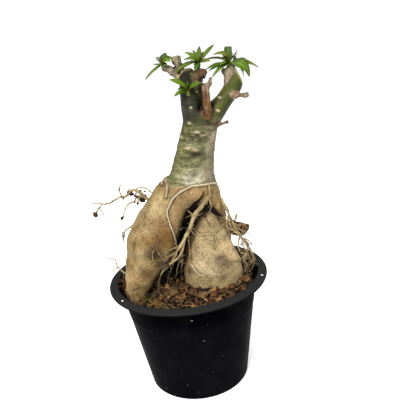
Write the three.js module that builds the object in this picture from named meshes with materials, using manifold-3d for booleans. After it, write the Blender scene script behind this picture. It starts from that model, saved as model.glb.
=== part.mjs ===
// A desert rose (adenium) with a swollen, split caudex, standing in a black nursery pot.
// Millimetres, +Z up. The origin is the middle of the pot's flat underside, on the ground.
import * as THREE from "three";
import { mergeVertices } from "three/addons/utils/BufferGeometryUtils.js";
import Module from "manifold-3d";

const wasm = await Module();
wasm.setup();

// ---------------------------------------------------------------- driving dimensions
const GAP = 0.35; // clearance between pieces that touch
const POT = {
  height: 142, // outer edge of the flange above the ground
  rimRadius: 100,
  flangeRise: 2.2, // the flange climbs this much towards the mouth
  mouthRadius: 90,
  bodyRadius: 85.5, // outside of the wall just under the flange
  baseRadius: 64,
  wall: 1.6,
  floor: 2.4,
  lipDrop: 3.2,
  segments: 48,
  rings: 3,
  ringPitch: 8,
  ringLowest: 110,
  ringProud: 0.7,
  hangerRadius: 95,
  hangerHole: 1.4,
  hangerAngles: [-17.5, -146, 98],
  drainRadius: 4,
  drainCircle: 42,
  drains: 6,
};
const MIX = { level: 132, edgeDrop: 3, rings: 6, segments: 36, lump: 1.6, chips: 24 };
const WOOD = { cell: 8.25, stemSides: 10, stubSides: 6, ringStep: 9 };
const LEAF = { thickness: 0.8, stations: 5 };

// The plant is described by where its points show in a 400-pixel square view of it.
const VIEW = {
  eye: new THREE.Vector3(26, -617.5, 441.8),
  tilt: THREE.MathUtils.degToRad(18.2), // the view looks down by this much
  roll: THREE.MathUtils.degToRad(6.66), // and the pot leans to the left by this much
  focal: 533.2,
  centre: 200,
};

const COLOURS = {
  pot: 0x14161b,
  mix: 0x4a3120,
  wood: 0xa58d62,
  root: 0xb39a68,
  leaf: 0x3f7a22,
  bark: 0x6b3a22,
};

// ---------------------------------------------------------------- random numbers and noise
function seeded(seed) {
  let state = seed >>> 0;
  return () => {
    state = (state + 0x6d2b79f5) >>> 0;
    let t = state;
    t = Math.imul(t ^ (t >>> 15), t | 1);
    t ^= t + Math.imul(t ^ (t >>> 7), t | 61);
    return ((t ^ (t >>> 14)) >>> 0) / 4294967296;
  };
}

// ---------------------------------------------------------------- sight lines of the view
function sightLine(px, py) {
  const { eye, tilt, roll, focal, centre } = VIEW;
  const du = px - centre;
  const dv = py - centre;
  const u = (du * Math.cos(roll) - dv * Math.sin(roll)) / focal;
  const v = (du * Math.sin(roll) + dv * Math.cos(roll)) / focal;
  const forward = new THREE.Vector3(0, Math.cos(tilt), -Math.sin(tilt));
  const up = new THREE.Vector3(0, Math.sin(tilt), Math.cos(tilt));
  const direction = forward.addScaledVector(up, -v);
  direction.x += u;
  return { eye, direction };
}

// The point that shows at (px, py) and lies at the depth y.
function seen([px, py, y]) {
  const { eye, direction } = sightLine(px, py);
  return eye.clone().addScaledVector(direction, (y - eye.y) / direction.y);
}

// ---------------------------------------------------------------- fields: negative inside the wood
// A limb is a chain of balls [x, y, z, radius] with cones between them; depth stretches it along Y.
function limbField(balls, x, y, z, depth = 1) {
  let least = Infinity;
  for (let i = 0; i + 1 < balls.length; i += 1) {
    const [ax, ay, az, ar] = balls[i];
    const [bx, by, bz, br] = balls[i + 1];
    const dx = bx - ax;
    const dy = (by - ay) / depth;
    const dz = bz - az;
    const px = x - ax;
    const py = (y - ay) / depth;
    const pz = z - az;
    const along = (px * dx + py * dy + pz * dz) / (dx * dx + dy * dy + dz * dz);
    const t = Math.min(Math.max(along, 0), 1);
    const away = Math.hypot(px - t * dx, py - t * dy, pz - t * dz);
    least = Math.min(least, away - (ar + t * (br - ar)));
  }
  return least;
}

function smoothMin(a, b, blend) {
  const h = Math.max(blend - Math.abs(a - b), 0) / blend;
  return Math.min(a, b) - (h * h * blend) / 4;
}

function smoothMax(a, b, blend) {
  return -smoothMin(-a, -b, blend);
}

const LOBE_LEFT = [
  [12, 0, 254, 21],
  [-10, -3, 243, 24],
  [-26, -8, 215, 30.3],
  [-38.8, -13, 194, 31],
  [-50, -19, 174, 23.5],
  [-57.5, -24, 158, 18],
  [-63, -27, 143, 13.5],
  [-65, -29, 130, 9.2],
  [-63, -29, 116, 8],
];
const LOBE_RIGHT = [
  [31, 8, 226, 9],
  [33, -10, 211, 13.5],
  [32, -12, 194, 22],
  [31, -11, 174, 30],
  [31.5, -9, 155, 36.2],
  [32.5, -6, 138, 37.5],
  [33, -5, 126, 30],
  [33, -4, 114, 18],
];
const LOBE_SHOULDER = [
  [27, 4, 259, 19],
  [34, 6, 245, 18],
  [39, 8, 230, 14.5],
  [40, 18, 208, 15],
  [42, 28, 180, 19],
  [42, 34, 150, 19],
  [41, 36, 122, 12],
];
const LOBE_BACK = [
  [4, 10, 248, 20],
  [-12, 24, 218, 24],
  [-18, 34, 184, 27],
  [-20, 40, 152, 22],
  [-20, 42, 122, 13],
];
// The middle of the caudex, which closes the cleft behind.
const LOBE_CORE = [
  [16, 16, 240, 18],
  [16, 20, 208, 19],
  [13, 22, 165, 20],
  [10, 22, 125, 13],
];
// The cleft between the lobes is carved deep; it runs from the shoulder down to the mix.
const CLEFT = [
  [31, -16, 249, 3],
  [25, -16, 236, 8],
  [12, -18, 222, 7],
  [4, -20, 206, 7],
  [-1, -22, 190, 7.5],
  [-9, -24, 172, 9],
  [-19, -26, 150, 12.5],
  [-21, -26, 120, 14],
];
const LEFT_DEPTH = 1.12; // how much each is stretched from front to back
const RIGHT_DEPTH = 0.8;
const CLEFT_DEPTH = 3.4;
const GROOVE_DEPTH = 2;
// A narrower groove parts the shoulder from the right lobe below it.
const SHOULDER_GROOVE = [
  [31, -24, 241, 3.6],
  [41, -18, 229, 4.2],
  [53, -7, 212, 3.8],
];
const TRUNK = [
  [17.8, 0, 258, 28.2],
  [21.2, 0, 276, 25.4],
  [27.5, 0, 301, 22.6],
  [34, 0, 322, 20.8],
  [38.5, 0, 336, 18],
  [38, 0, 343, 13.5],
];

function caudexField(x, y, z) {
  let lobes = smoothMin(limbField(LOBE_LEFT, x, y, z, LEFT_DEPTH), limbField(LOBE_BACK, x, y, z), 12);
  lobes = smoothMin(lobes, limbField(LOBE_CORE, x, y, z), 9);
  lobes = smoothMin(lobes, limbField(LOBE_SHOULDER, x, y, z), 9);
  lobes = smoothMin(lobes, limbField(LOBE_RIGHT, x, y, z, RIGHT_DEPTH), 4);
  const groove = limbField(SHOULDER_GROOVE, x, y, z, GROOVE_DEPTH);
  const hollow = Math.min(limbField(CLEFT, x, y, z, CLEFT_DEPTH), groove);
  const split = smoothMax(lobes, -hollow, 4);
  return smoothMin(split, limbField(TRUNK, x, y, z), 6);
}

// Where the sight line of (px, py) meets the caudex, or null where it passes by.
function onCaudex(px, py) {
  const { eye, direction } = sightLine(px, py);
  const point = new THREE.Vector3();
  for (let reach = 480; reach < 760; reach += 0.5) {
    point.copy(eye).addScaledVector(direction, reach);
    if (caudexField(point.x, point.y, point.z) < 0) {
      return point.clone();
    }
  }
  return null;
}

// ---------------------------------------------------------------- surface of a field
// One vertex in each grid cell that the surface crosses, and a quad round each crossed edge.
function surfaceOf(field, low, high, cell) {
  const count = low.map((start, axis) => Math.ceil((high[axis] - start) / cell) + 1);
  const [nx, ny, nz] = count;
  const values = new Float64Array(nx * ny * nz);
  const at = (i, j, k) => i + nx * (j + ny * k);
  for (let k = 0; k < nz; k += 1) {
    for (let j = 0; j < ny; j += 1) {
      for (let i = 0; i < nx; i += 1) {
        values[at(i, j, k)] = field(low[0] + i * cell, low[1] + j * cell, low[2] + k * cell);
      }
    }
  }
  const corners = [0, 1, 2, 3, 4, 5, 6, 7].map((n) => [n & 1, (n >> 1) & 1, n >> 2]);
  const edges = [];
  for (let a = 0; a < 8; a += 1) {
    for (const bit of [1, 2, 4]) {
      if (!(a & bit)) {
        edges.push([a, a | bit]);
      }
    }
  }
  const positions = [];
  const vertexOf = new Map();
  for (let k = 0; k + 1 < nz; k += 1) {
    for (let j = 0; j + 1 < ny; j += 1) {
      for (let i = 0; i + 1 < nx; i += 1) {
        const sum = [0, 0, 0];
        let crossed = 0;
        for (const [a, b] of edges) {
          const va = values[at(i + corners[a][0], j + corners[a][1], k + corners[a][2])];
          const vb = values[at(i + corners[b][0], j + corners[b][1], k + corners[b][2])];
          if (va < 0 !== vb < 0) {
            const t = Math.min(Math.max(va / (va - vb), 0.06), 0.94);
            for (let axis = 0; axis < 3; axis += 1) {
              sum[axis] += corners[a][axis] + t * (corners[b][axis] - corners[a][axis]);
            }
            crossed += 1;
          }
        }
        if (crossed > 0) {
          vertexOf.set(at(i, j, k), positions.length / 3);
          const index = [i, j, k];
          positions.push(...sum.map((s, axis) => low[axis] + cell * (index[axis] + s / crossed)));
        }
      }
    }
  }
  const triangles = [];
  const diagonals = new Set(); // no two quads may be split along the same pair of vertices
  const corner = (v) => new THREE.Vector3(positions[3 * v], positions[3 * v + 1], positions[3 * v + 2]);
  const addQuad = (a, b, c, d, flip) => {
    const ring = flip ? [a, d, c, b] : [a, b, c, d];
    const [p, q, r, s] = ring.map(corner);
    const pair = (m, n) => `${Math.min(ring[m], ring[n])} ${Math.max(ring[m], ring[n])}`;
    const short = p.distanceTo(r) <= q.distanceTo(s) ? 0 : 1;
    const from = diagonals.has(pair(short, short + 2)) ? 1 - short : short;
    diagonals.add(pair(from, from + 2));
    const order = from === 0 ? [0, 1, 2, 0, 2, 3] : [1, 2, 3, 1, 3, 0];
    triangles.push(...order.map((n) => ring[n]));
  };
  for (let k = 1; k + 1 < nz; k += 1) {
    for (let j = 1; j + 1 < ny; j += 1) {
      for (let i = 1; i + 1 < nx; i += 1) {
        const here = values[at(i, j, k)] < 0;
        const cellAt = (di, dj, dk) => vertexOf.get(at(i - di, j - dj, k - dk));
        if (here !== values[at(i + 1, j, k)] < 0) {
          addQuad(cellAt(0, 1, 1), cellAt(0, 0, 1), cellAt(0, 0, 0), cellAt(0, 1, 0), !here);
        }
        if (here !== values[at(i, j + 1, k)] < 0) {
          addQuad(cellAt(1, 0, 1), cellAt(1, 0, 0), cellAt(0, 0, 0), cellAt(0, 0, 1), !here);
        }
        if (here !== values[at(i, j, k + 1)] < 0) {
          addQuad(cellAt(1, 1, 0), cellAt(0, 1, 0), cellAt(0, 0, 0), cellAt(1, 0, 0), !here);
        }
      }
    }
  }
  return indexedGeometry(positions, triangles);
}

// ---------------------------------------------------------------- closed meshes and solids
function indexedGeometry(positions, triangles) {
  const geometry = new THREE.BufferGeometry();
  geometry.setAttribute("position", new THREE.Float32BufferAttribute(positions, 3));
  geometry.setIndex(triangles);
  return geometry;
}

function solidOf(geometry) {
  const bare = geometry.clone();
  bare.deleteAttribute("normal");
  bare.deleteAttribute("uv");
  const merged = mergeVertices(bare, 1e-4);
  return new wasm.Manifold(
    new wasm.Mesh({
      numProp: 3,
      vertProperties: Float32Array.from(merged.attributes.position.array),
      triVerts: Uint32Array.from(merged.index.array),
    }),
  );
}

function joined(solids) {
  return solids.reduce((whole, next) => whole.add(next));
}

// The largest body of a solid: cutting can leave loose scraps, which are dropped.
function mainBody(solid) {
  const bodies = solid.decompose();
  bodies.sort((a, b) => b.volume() - a.volume());
  return bodies[0];
}

// Edges shorter than this are drawn together, because a join leaves slivers along its seam.
const SHORTEST_EDGE = 0.02;

function withoutSlivers(positions, triangles) {
  const same = Array.from({ length: positions.length / 3 }, (_, n) => n);
  const rootOf = (n) => {
    let root = n;
    while (same[root] !== root) {
      root = same[root];
    }
    return root;
  };
  const apart = (a, b) =>
    Math.hypot(...[0, 1, 2].map((axis) => positions[3 * a + axis] - positions[3 * b + axis]));
  for (let t = 0; t < triangles.length; t += 3) {
    for (let e = 0; e < 3; e += 1) {
      const [a, b] = [triangles[t + e], triangles[t + ((e + 1) % 3)]];
      if (apart(a, b) < SHORTEST_EDGE) {
        same[rootOf(a)] = rootOf(b);
      }
    }
  }
  const kept = new Map();
  for (let t = 0; t < triangles.length; t += 3) {
    const [a, b, c] = [0, 1, 2].map((e) => rootOf(triangles[t + e]));
    if (a === b || b === c || c === a) {
      continue;
    }
    const key = [a, b, c].sort((m, n) => m - n).join(" ");
    if (kept.has(key)) {
      kept.delete(key); // two faces back to back enclose nothing
    } else {
      kept.set(key, [a, b, c]);
    }
  }
  return [...kept.values()].flat();
}

function meshOf(solid, name, material) {
  const { vertProperties, triVerts, numProp } = solid.getMesh();
  const positions = [];
  for (let i = 0; i < vertProperties.length; i += numProp) {
    positions.push(vertProperties[i], vertProperties[i + 1], vertProperties[i + 2]);
  }
  const geometry = indexedGeometry(positions, withoutSlivers(positions, Array.from(triVerts)));
  geometry.computeVertexNormals();
  const mesh = new THREE.Mesh(geometry, material);
  mesh.name = name;
  return mesh;
}

function finish(colour, roughness, metalness = 0) {
  return new THREE.MeshStandardMaterial({ color: colour, roughness, metalness });
}

// A tube of few sides through points, with a radius at each point and flat closed ends.
function tube(points, radii, sides = 5) {
  const positions = [];
  const triangles = [];
  let side = new THREE.Vector3(0.31, 0.87, 0.39);
  points.forEach((point, i) => {
    const ahead = points[Math.min(i + 1, points.length - 1)];
    const behind = points[Math.max(i - 1, 0)];
    const along = ahead.clone().sub(behind).normalize();
    side = side.clone().addScaledVector(along, -side.dot(along)).normalize();
    const across = along.clone().cross(side);
    for (let n = 0; n < sides; n += 1) {
      const angle = (2 * Math.PI * n) / sides;
      const ring = point.clone();
      ring.addScaledVector(side, radii[i] * Math.cos(angle));
      ring.addScaledVector(across, radii[i] * Math.sin(angle));
      positions.push(ring.x, ring.y, ring.z);
    }
  });
  const last = sides * (points.length - 1);
  for (let i = 0; i + 1 < points.length; i += 1) {
    for (let n = 0; n < sides; n += 1) {
      const a = sides * i + n;
      const b = sides * i + ((n + 1) % sides);
      triangles.push(a, b, b + sides, a, b + sides, a + sides);
    }
  }
  for (let n = 1; n + 1 < sides; n += 1) {
    triangles.push(0, n + 1, n, last, last + n, last + n + 1);
  }
  return solidOf(indexedGeometry(positions, triangles));
}

// A strand through control points, thinning from its first radius to its last one.
function strand(controls, thick, thin, step = 9, sides = 5) {
  const curve = new THREE.CatmullRomCurve3(controls, false, "centripetal");
  const steps = Math.max(controls.length - 1, Math.round(curve.getLength() / step));
  const points = curve.getSpacedPoints(steps);
  return tube(points, points.map((_, i) => thick + ((thin - thick) * i) / steps), sides);
}

// ---------------------------------------------------------------- the pot
const POT_SHOULDER = POT.height - 6; // the tapered wall ends here

function wallRadius(z) {
  return POT.baseRadius + ((POT.bodyRadius - POT.baseRadius) * z) / POT_SHOULDER;
}

function potProfile() {
  const { height, rimRadius, flangeRise, mouthRadius, bodyRadius, baseRadius, wall, floor, lipDrop } = POT;
  const shoulder = POT_SHOULDER;
  const outside = [[0, 0], [baseRadius - 2, 0], [wallRadius(2), 2]];
  for (let n = 0; n < POT.rings; n += 1) {
    const z = POT.ringLowest + n * POT.ringPitch;
    outside.push([wallRadius(z), z], [wallRadius(z) + POT.ringProud, z + 1]);
    outside.push([wallRadius(z + 4) + POT.ringProud, z + 4], [wallRadius(z + 5), z + 5]);
  }
  outside.push([bodyRadius, shoulder], [bodyRadius + 1.6, shoulder + 2.4], [bodyRadius + 5, height - 1.2]);
  outside.push([rimRadius - 2.2, height - 1.9], [rimRadius - 1.8, height - lipDrop]);
  outside.push([rimRadius - 0.5, height - lipDrop], [rimRadius, height - 0.9], [rimRadius - 1.2, height + 0.3]);
  const inside = [
    [mouthRadius + 0.8, height + flangeRise],
    [mouthRadius - 0.6, height + flangeRise - 0.5],
    [bodyRadius + 1.4, height - 1.2],
    [bodyRadius - wall, shoulder],
    [wallRadius(floor) - wall, floor],
    [0, floor],
  ];
  return [...outside, ...inside].map(([r, z]) => new THREE.Vector2(r, z));
}

function cylinderAt(radius, length, x, y, z, sides) {
  const geometry = new THREE.CylinderGeometry(radius, radius, length, sides);
  geometry.rotateX(Math.PI / 2);
  geometry.translate(x, y, z);
  return solidOf(geometry);
}

function buildPot() {
  const turned = new THREE.LatheGeometry(potProfile(), POT.segments);
  turned.rotateX(Math.PI / 2);
  let pot = solidOf(turned);
  for (const degrees of POT.hangerAngles) {
    const angle = THREE.MathUtils.degToRad(degrees);
    const [x, y] = [POT.hangerRadius * Math.cos(angle), POT.hangerRadius * Math.sin(angle)];
    pot = pot.subtract(cylinderAt(POT.hangerHole, 12, x, y, POT.height, 10));
  }
  for (let n = 0; n < POT.drains; n += 1) {
    const angle = (2 * Math.PI * (n + 0.5)) / POT.drains;
    const [x, y] = [POT.drainCircle * Math.cos(angle), POT.drainCircle * Math.sin(angle)];
    pot = pot.subtract(cylinderAt(POT.drainRadius, 12, x, y, 0, 10));
  }
  return pot;
}

// ---------------------------------------------------------------- the woody plant
// Thin roots that have grown fast to the caudex: [px, py] points, then the two radii.
const FAST_ROOTS = {
  peelLine: {
    points: [[215, 183], [206, 184.3], [193.4, 186], [185.7, 188.7], [177.6, 193.3], [173, 197.3], [169.4, 203.5],
      [166.8, 213], [169.4, 225], [173, 235], [175, 243]],
    radii: [1.3, 1],
  },
  acrossRightLobe: {
    points: [[194.4, 228.5], [198.5, 234], [211, 233.6], [220.4, 227.4]],
    radii: [1.1, 0.9],
  },
  reddish: {
    points: [[190.3, 240], [190.6, 252], [192, 262], [194.5, 268], [199.8, 273.4], [205.5, 275.6]],
    radii: [1.2, 0.8],
  },
};

// Stems and dried stubs above the fork: chains of [x, y, z, radius].
const STEMS = {
  left: [[33, -1, 330, 14.6], [30.5, -2, 350, 13.8], [28, -3, 366, 11], [26.5, -4, 382, 8.6], [28.5, -5, 402, 8]],
  leftSecond: [[36, 1, 334, 11], [37, -1, 354, 8.6], [38, -4, 370, 6.8], [38.5, -8, 391, 6.6]],
  right: [[41, 0, 326, 12], [53, 0, 342, 12.4], [65, 0, 354, 9.8], [75, 0, 366, 9.4], [88, 0, 386, 9.2]],
  rightShoulder: [[79, 0, 370, 8], [76, -1, 382, 8], [75, -1, 391, 7.2]],
};
const STUBS = {
  twigLeft: [[22, 1, 384, 5.2], [14, 0, 393, 4.8], [7, 0, 397.5, 4], [1, -2, 398, 2.4]],
  top: [[24, 2, 382, 5.4], [20.5, 3, 397, 4.4], [18.2, 4, 405, 5.2], [17.4, 4, 410, 6]],
  centre: [[38.5, -8, 384, 6.6], [41, -11, 388.5, 6.4], [46, -14, 390, 5], [50, -14, 390, 2.2]],
  tall: [[44, -9, 340, 5.6], [45.2, -14, 346, 6.6], [46, -17, 354, 5.2], [46.4, -18, 365, 4.3], [46.6, -19, 379, 4.9]],
  tallTip: [[47.5, -19, 374, 2.4], [51.5, -19, 378, 2.6], [54, -18, 384.5, 1.5]],
  right: [[73, -3, 363, 5], [79.5, -8, 361.5, 4.6], [84, -8, 360, 2.5], [94, -8, 360, 2.1]],
  low: [[50, -3, 330, 6], [57, -3, 329.5, 4], [61, -3, 329, 2], [69, -2, 331, 2]],
};
// Each cut end is a plane [point, normal]; what lies beyond it is off.
const CUTS = {
  left: [[28, -5, 391.5], [-0.15, 0.6, 0.78]],
  leftSecond: [[38.5, -8, 390], [0.1, -0.1, 0.99]],
  right: [[85.8, 0, 379], [0.85, 0.3, 0.43]],
};

// A round stem through balls, with its radius following theirs.
function stem(balls, sides) {
  const curve = new THREE.CatmullRomCurve3(balls.map(([x, y, z]) => new THREE.Vector3(x, y, z)), false, "centripetal");
  const points = [];
  const radii = [];
  for (let i = 0; i + 1 < balls.length; i += 1) {
    const [a, b] = [0, 1].map((n) => curve.getPoint((i + n) / (balls.length - 1)));
    const steps = Math.max(1, Math.round(a.distanceTo(b) / WOOD.ringStep));
    for (let n = i === 0 ? 0 : 1; n <= steps; n += 1) {
      points.push(curve.getPoint((i + n / steps) / (balls.length - 1)));
      radii.push(balls[i][3] + ((balls[i + 1][3] - balls[i][3]) * n) / steps);
    }
  }
  return { points, radii, sides };
}

// A large block whose near face is the cut plane.
function beyondCut([point, normal]) {
  const size = 60;
  const block = new THREE.BoxGeometry(size, size, size);
  block.translate(0, 0, size / 2);
  const facing = new THREE.Vector3(...normal).normalize();
  block.applyQuaternion(new THREE.Quaternion().setFromUnitVectors(new THREE.Vector3(0, 0, 1), facing));
  block.translate(...point);
  return solidOf(block);
}

function buildCrown(swell) {
  const solidStem = (balls, sides) => {
    const { points, radii } = stem(balls, sides);
    const [first, last] = [points[0], points[points.length - 1]];
    last.addScaledVector(last.clone().sub(first).normalize(), swell);
    return tube(points, radii.map((r) => r + swell * 1.1), sides);
  };
  const stems = Object.entries(STEMS).map(([name, balls]) => {
    const solid = solidStem(balls, WOOD.stemSides);
    const beyond = CUTS[name] && [[...CUTS[name][0]], CUTS[name][1]];
    if (!beyond) {
      return solid;
    }
    beyond[0][2] += swell;
    return solid.subtract(beyondCut(beyond));
  });
  const stubs = Object.values(STUBS).map((balls) => solidStem(balls, WOOD.stubSides));
  return joined([...stems, ...stubs]);
}

const caudexSurface = surfaceOf(caudexField, [-93, -79, 84], [99, 90, 374], WOOD.cell);

// The same surface with every vertex pushed out along its normal.
function swollen(geometry, swell) {
  const wider = geometry.clone();
  wider.computeVertexNormals();
  const { position, normal } = wider.attributes;
  const moved = Array.from(position.array).map((value, n) => value + swell * normal.array[n]);
  return indexedGeometry(moved, Array.from(geometry.index.array));
}

function buildWood(swell) {
  return mainBody(solidOf(swollen(caudexSurface, swell)).add(buildCrown(swell)));
}

function fastRoots(swell = 0) {
  return Object.values(FAST_ROOTS).map(({ points, radii }) => {
    const laid = points.map(([px, py]) => onCaudex(px, py)).filter((point) => point);
    return strand(laid, radii[0] + swell, radii[1] + swell, 9, 5);
  });
}

// ---------------------------------------------------------------- free roots: [px, py, y] points
const ROOT_BUNCHES = {
  root_spray_left: [
    { points: [[150, 201, 6], [141, 194, 6], [133, 190, 6], [126, 196, 4], [119, 197.5, 4]], radii: [2.6, 1.3] },
    { points: [[119, 197.5, 4], [112.9, 201.3, 2], [108.3, 203.6, 2], [100.7, 203.6, 0], [87.7, 202.5, 0]], radii: [1.3, 0.7] },
    { points: [[122, 196.5, 4], [119.8, 193, 5], [119, 188, 6], [121.3, 183, 6]], radii: [1, 0.7] },
    { points: [[103.5, 203.6, 1], [99, 208, -1], [95.3, 215, -3]], radii: [0.9, 2.6] },
    { points: [[99, 208, -1], [103, 213, 0], [105.2, 218, 0]], radii: [0.8, 0.6] },
    { points: [[136, 192, 6], [135, 200, 2], [128, 204.5, 0], [124, 212, -2], [122, 219, -2]], radii: [1.2, 1.5] },
    { points: [[141, 194, 6], [139, 198, 3], [138, 203.6, 3]], radii: [1.8, 3] },
    { points: [[152.7, 193, 8], [147, 189, 9], [141.2, 187.5, 9], [134, 190, 7]], radii: [1, 0.8] },
  ],
  root_twig_left: [
    { points: [[137, 221, -6], [132.8, 225, -6], [125, 231, -8], [124.5, 236, -8], [123.6, 243, -8]], radii: [1.4, 0.7] },
    { points: [[126, 230, -8], [122.5, 234, -9], [121, 238, -10]], radii: [0.8, 0.6] },
  ],
  root_twig_low: [
    { points: [[129, 275, -14], [122, 271, -14], [117.5, 266.4, -14], [114.4, 259.5, -14], [107.5, 258.7, -12]], radii: [1.2, 0.7] },
    { points: [[118.5, 268, -14], [114, 269, -15], [112.5, 273, -15]], radii: [0.8, 0.6] },
  ],
  roots_cleft: [
    { points: [[209.4, 195, -14], [206.5, 201.5, -22], [203.1, 206.2, -26], [196.8, 215.1, -30], [191.6, 225.4, -33],
      [186.4, 234.6, -36], [181.8, 242.7, -38], [177.2, 250.7, -40]], radii: [2.9, 1.8] },
    { points: [[178, 249.5, -40], [174.4, 257.6, -39], [168.1, 266.5, -36], [163.5, 271, -32], [160, 276.5, -26],
      [158.9, 284, -18], [158.8, 292, -10]], radii: [1.6, 1.1] },
    { points: [[185, 239, -37], [184.1, 244.9, -37], [181.8, 251.8, -38], [178.4, 257.6, -39], [172.7, 262.2, -39],
      [167, 267.4, -36]], radii: [1.5, 1.1] },
    { points: [[184.3, 243, -37], [182.4, 252, -33], [182, 262, -22], [181.8, 272, -8], [181.6, 280, 2]], radii: [1.4, 1.1] },
    { points: [[178, 250, -40], [175.6, 257, -37], [172.6, 266, -29], [169.4, 274, -18], [167, 284, -4]], radii: [1, 0.8] },
    { points: [[175.5, 252, -40], [171, 255, -43], [167, 256.5, -47]], radii: [1.1, 0.8] },
    { points: [[209, 197, -19], [210, 203, -24], [213, 206.5, -22]], radii: [1, 0.8] },
    { points: [[196, 215, -30], [192, 214.5, -30], [188, 210.5, -26]], radii: [1.1, 0.8] },
  ],
  roots_right: [
    { points: [[221, 198, 2], [225.5, 207, -2], [229.8, 216.7, -6], [234.5, 226, -6], [240, 236, -6], [246, 243, -5], [250, 250, -4]],
      radii: [2, 0.9] },
    { points: [[229.8, 216.7, -6], [226.8, 222, -10], [229, 228, -9], [235, 231, -8], [240, 236, -6]], radii: [1.3, 1] },
    { points: [[240, 236, -6], [238.5, 244, -8], [240, 252, -8], [245.9, 254, -8], [240, 259, -10], [231, 262, -14]], radii: [1.2, 0.8] },
    { points: [[246, 243, -5], [247.5, 251, -5], [244.5, 260, -4], [248, 268, 0], [245.5, 277, 4]], radii: [1.1, 0.8] },
    { points: [[235, 227, -6], [243, 231, -2], [251, 234, 2]], radii: [0.9, 0.6] },
    { points: [[241, 237, -6], [248, 240, -2], [253, 245, 2]], radii: [0.9, 0.6] },
    { points: [[232, 221, -6], [236, 219, -4], [236.5, 213.5, -4]], radii: [1.1, 1.3] },
    { points: [[246, 243, -5], [252, 252, -2], [254, 261, 2], [251.5, 270, 8]], radii: [1, 0.7] },
  ],
};

function buildRoots(strands, clearing) {
  const tubes = strands.map(({ points, radii }) => strand(points.map(seen), radii[0], radii[1]));
  return mainBody(joined(tubes).subtract(clearing));
}

// ---------------------------------------------------------------- leaves
// base and tip are [px, py, y]; lift arches the midrib; width is the blade's widest, in mm.
const ROSETTES = {
  leaves_left: {
    bud: [[163.5, 69, -2], [162, 62, -2]],
    budRadii: [2.4, 1.6],
    blades: [
      { tip: [145.2, 79.8, -6], width: 3, lift: 1 },
      { tip: [153.2, 64, -6], width: 2.4, lift: -1 },
      { tip: [165.7, 52.8, 0], width: 6.5, lift: 1 },
      { tip: [172.3, 57.4, 2], width: 6.5, lift: 2 },
      { tip: [170.5, 61.5, -12], width: 6, lift: 2 },
      { tip: [159, 57, 14], width: 6, lift: 2 },
    ],
  },
  leaves_centre: {
    bud: [[197.8, 69, -8], [199, 60, -8]],
    budRadii: [3, 1.8],
    blades: [
      { tip: [213.8, 44.5, -2], width: 4, lift: 1 },
      { tip: [199.4, 46.2, -6], width: 4.4, lift: 0.5 },
      { tip: [184.7, 52.4, -8], width: 4.8, lift: 2 },
      { tip: [183.9, 60, -16], width: 4.4, lift: 3 },
      { tip: [175.6, 72.7, -20], width: 4.6, lift: 4 },
      { tip: [210.4, 61.2, -16], width: 4.6, lift: 1 },
      { tip: [194.6, 71, -20], width: 4, lift: 2 },
      { tip: [203.4, 51.2, -6], width: 2, lift: 0 },
      { tip: [192.6, 50, -4], width: 3.2, lift: 0.5 },
      { tip: [206, 53, 12], width: 4.6, lift: 2 },
      { tip: [190, 54, 12], width: 4.6, lift: 2 },
    ],
  },
  leaves_low: {
    bud: [[188.5, 95.5, -11], [187, 89, -16]],
    budRadii: [2.8, 1.7],
    blades: [
      { tip: [169.4, 79.8, -24], width: 6.5, lift: 3 },
      { tip: [202.6, 82.7, -26], width: 6, lift: 2 },
      { tip: [188.2, 81.8, -22], width: 4, lift: 1 },
      { tip: [194.4, 81.8, -18], width: 2, lift: 0 },
      { tip: [177.3, 89.5, -16], width: 3.6, lift: 1 },
      { tip: [174.4, 96.3, -24], width: 5, lift: 2 },
    ],
  },
  leaves_right: {
    bud: [[229, 70, -2], [229, 60, -3]],
    budRadii: [4, 2],
    blades: [
      { tip: [213, 54.6, -10], width: 5.2, lift: 6 },
      { tip: [206, 69.4, -14], width: 3.8, lift: 2.5 },
      { tip: [204.3, 60, -4], width: 3, lift: 4 },
      { tip: [212.2, 77.3, -16], width: 3.8, lift: 4 },
      { tip: [227.9, 46.4, 0], width: 7.5, lift: 1 },
      { tip: [216.3, 56.6, -2], width: 2.6, lift: 0 },
      { tip: [222.2, 56.8, -6], width: 2.6, lift: 0 },
      { tip: [258.5, 69.2, -2], width: 4.8, lift: 4 },
      { tip: [247.3, 76, -9], width: 10, lift: 7 },
      { tip: [243.4, 76.6, 8], width: 5, lift: 5 },
      { tip: [237.5, 50, 6], width: 2, lift: 0 },
      { tip: [224, 52, 16], width: 6, lift: 2 },
    ],
  },
};

// Share of the blade's full width at each station from stalk to tip.
function bladeWidth(t) {
  return 0.22 + 0.78 * Math.sin(Math.PI * Math.pow(t, 0.85)) ** 0.8;
}

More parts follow.
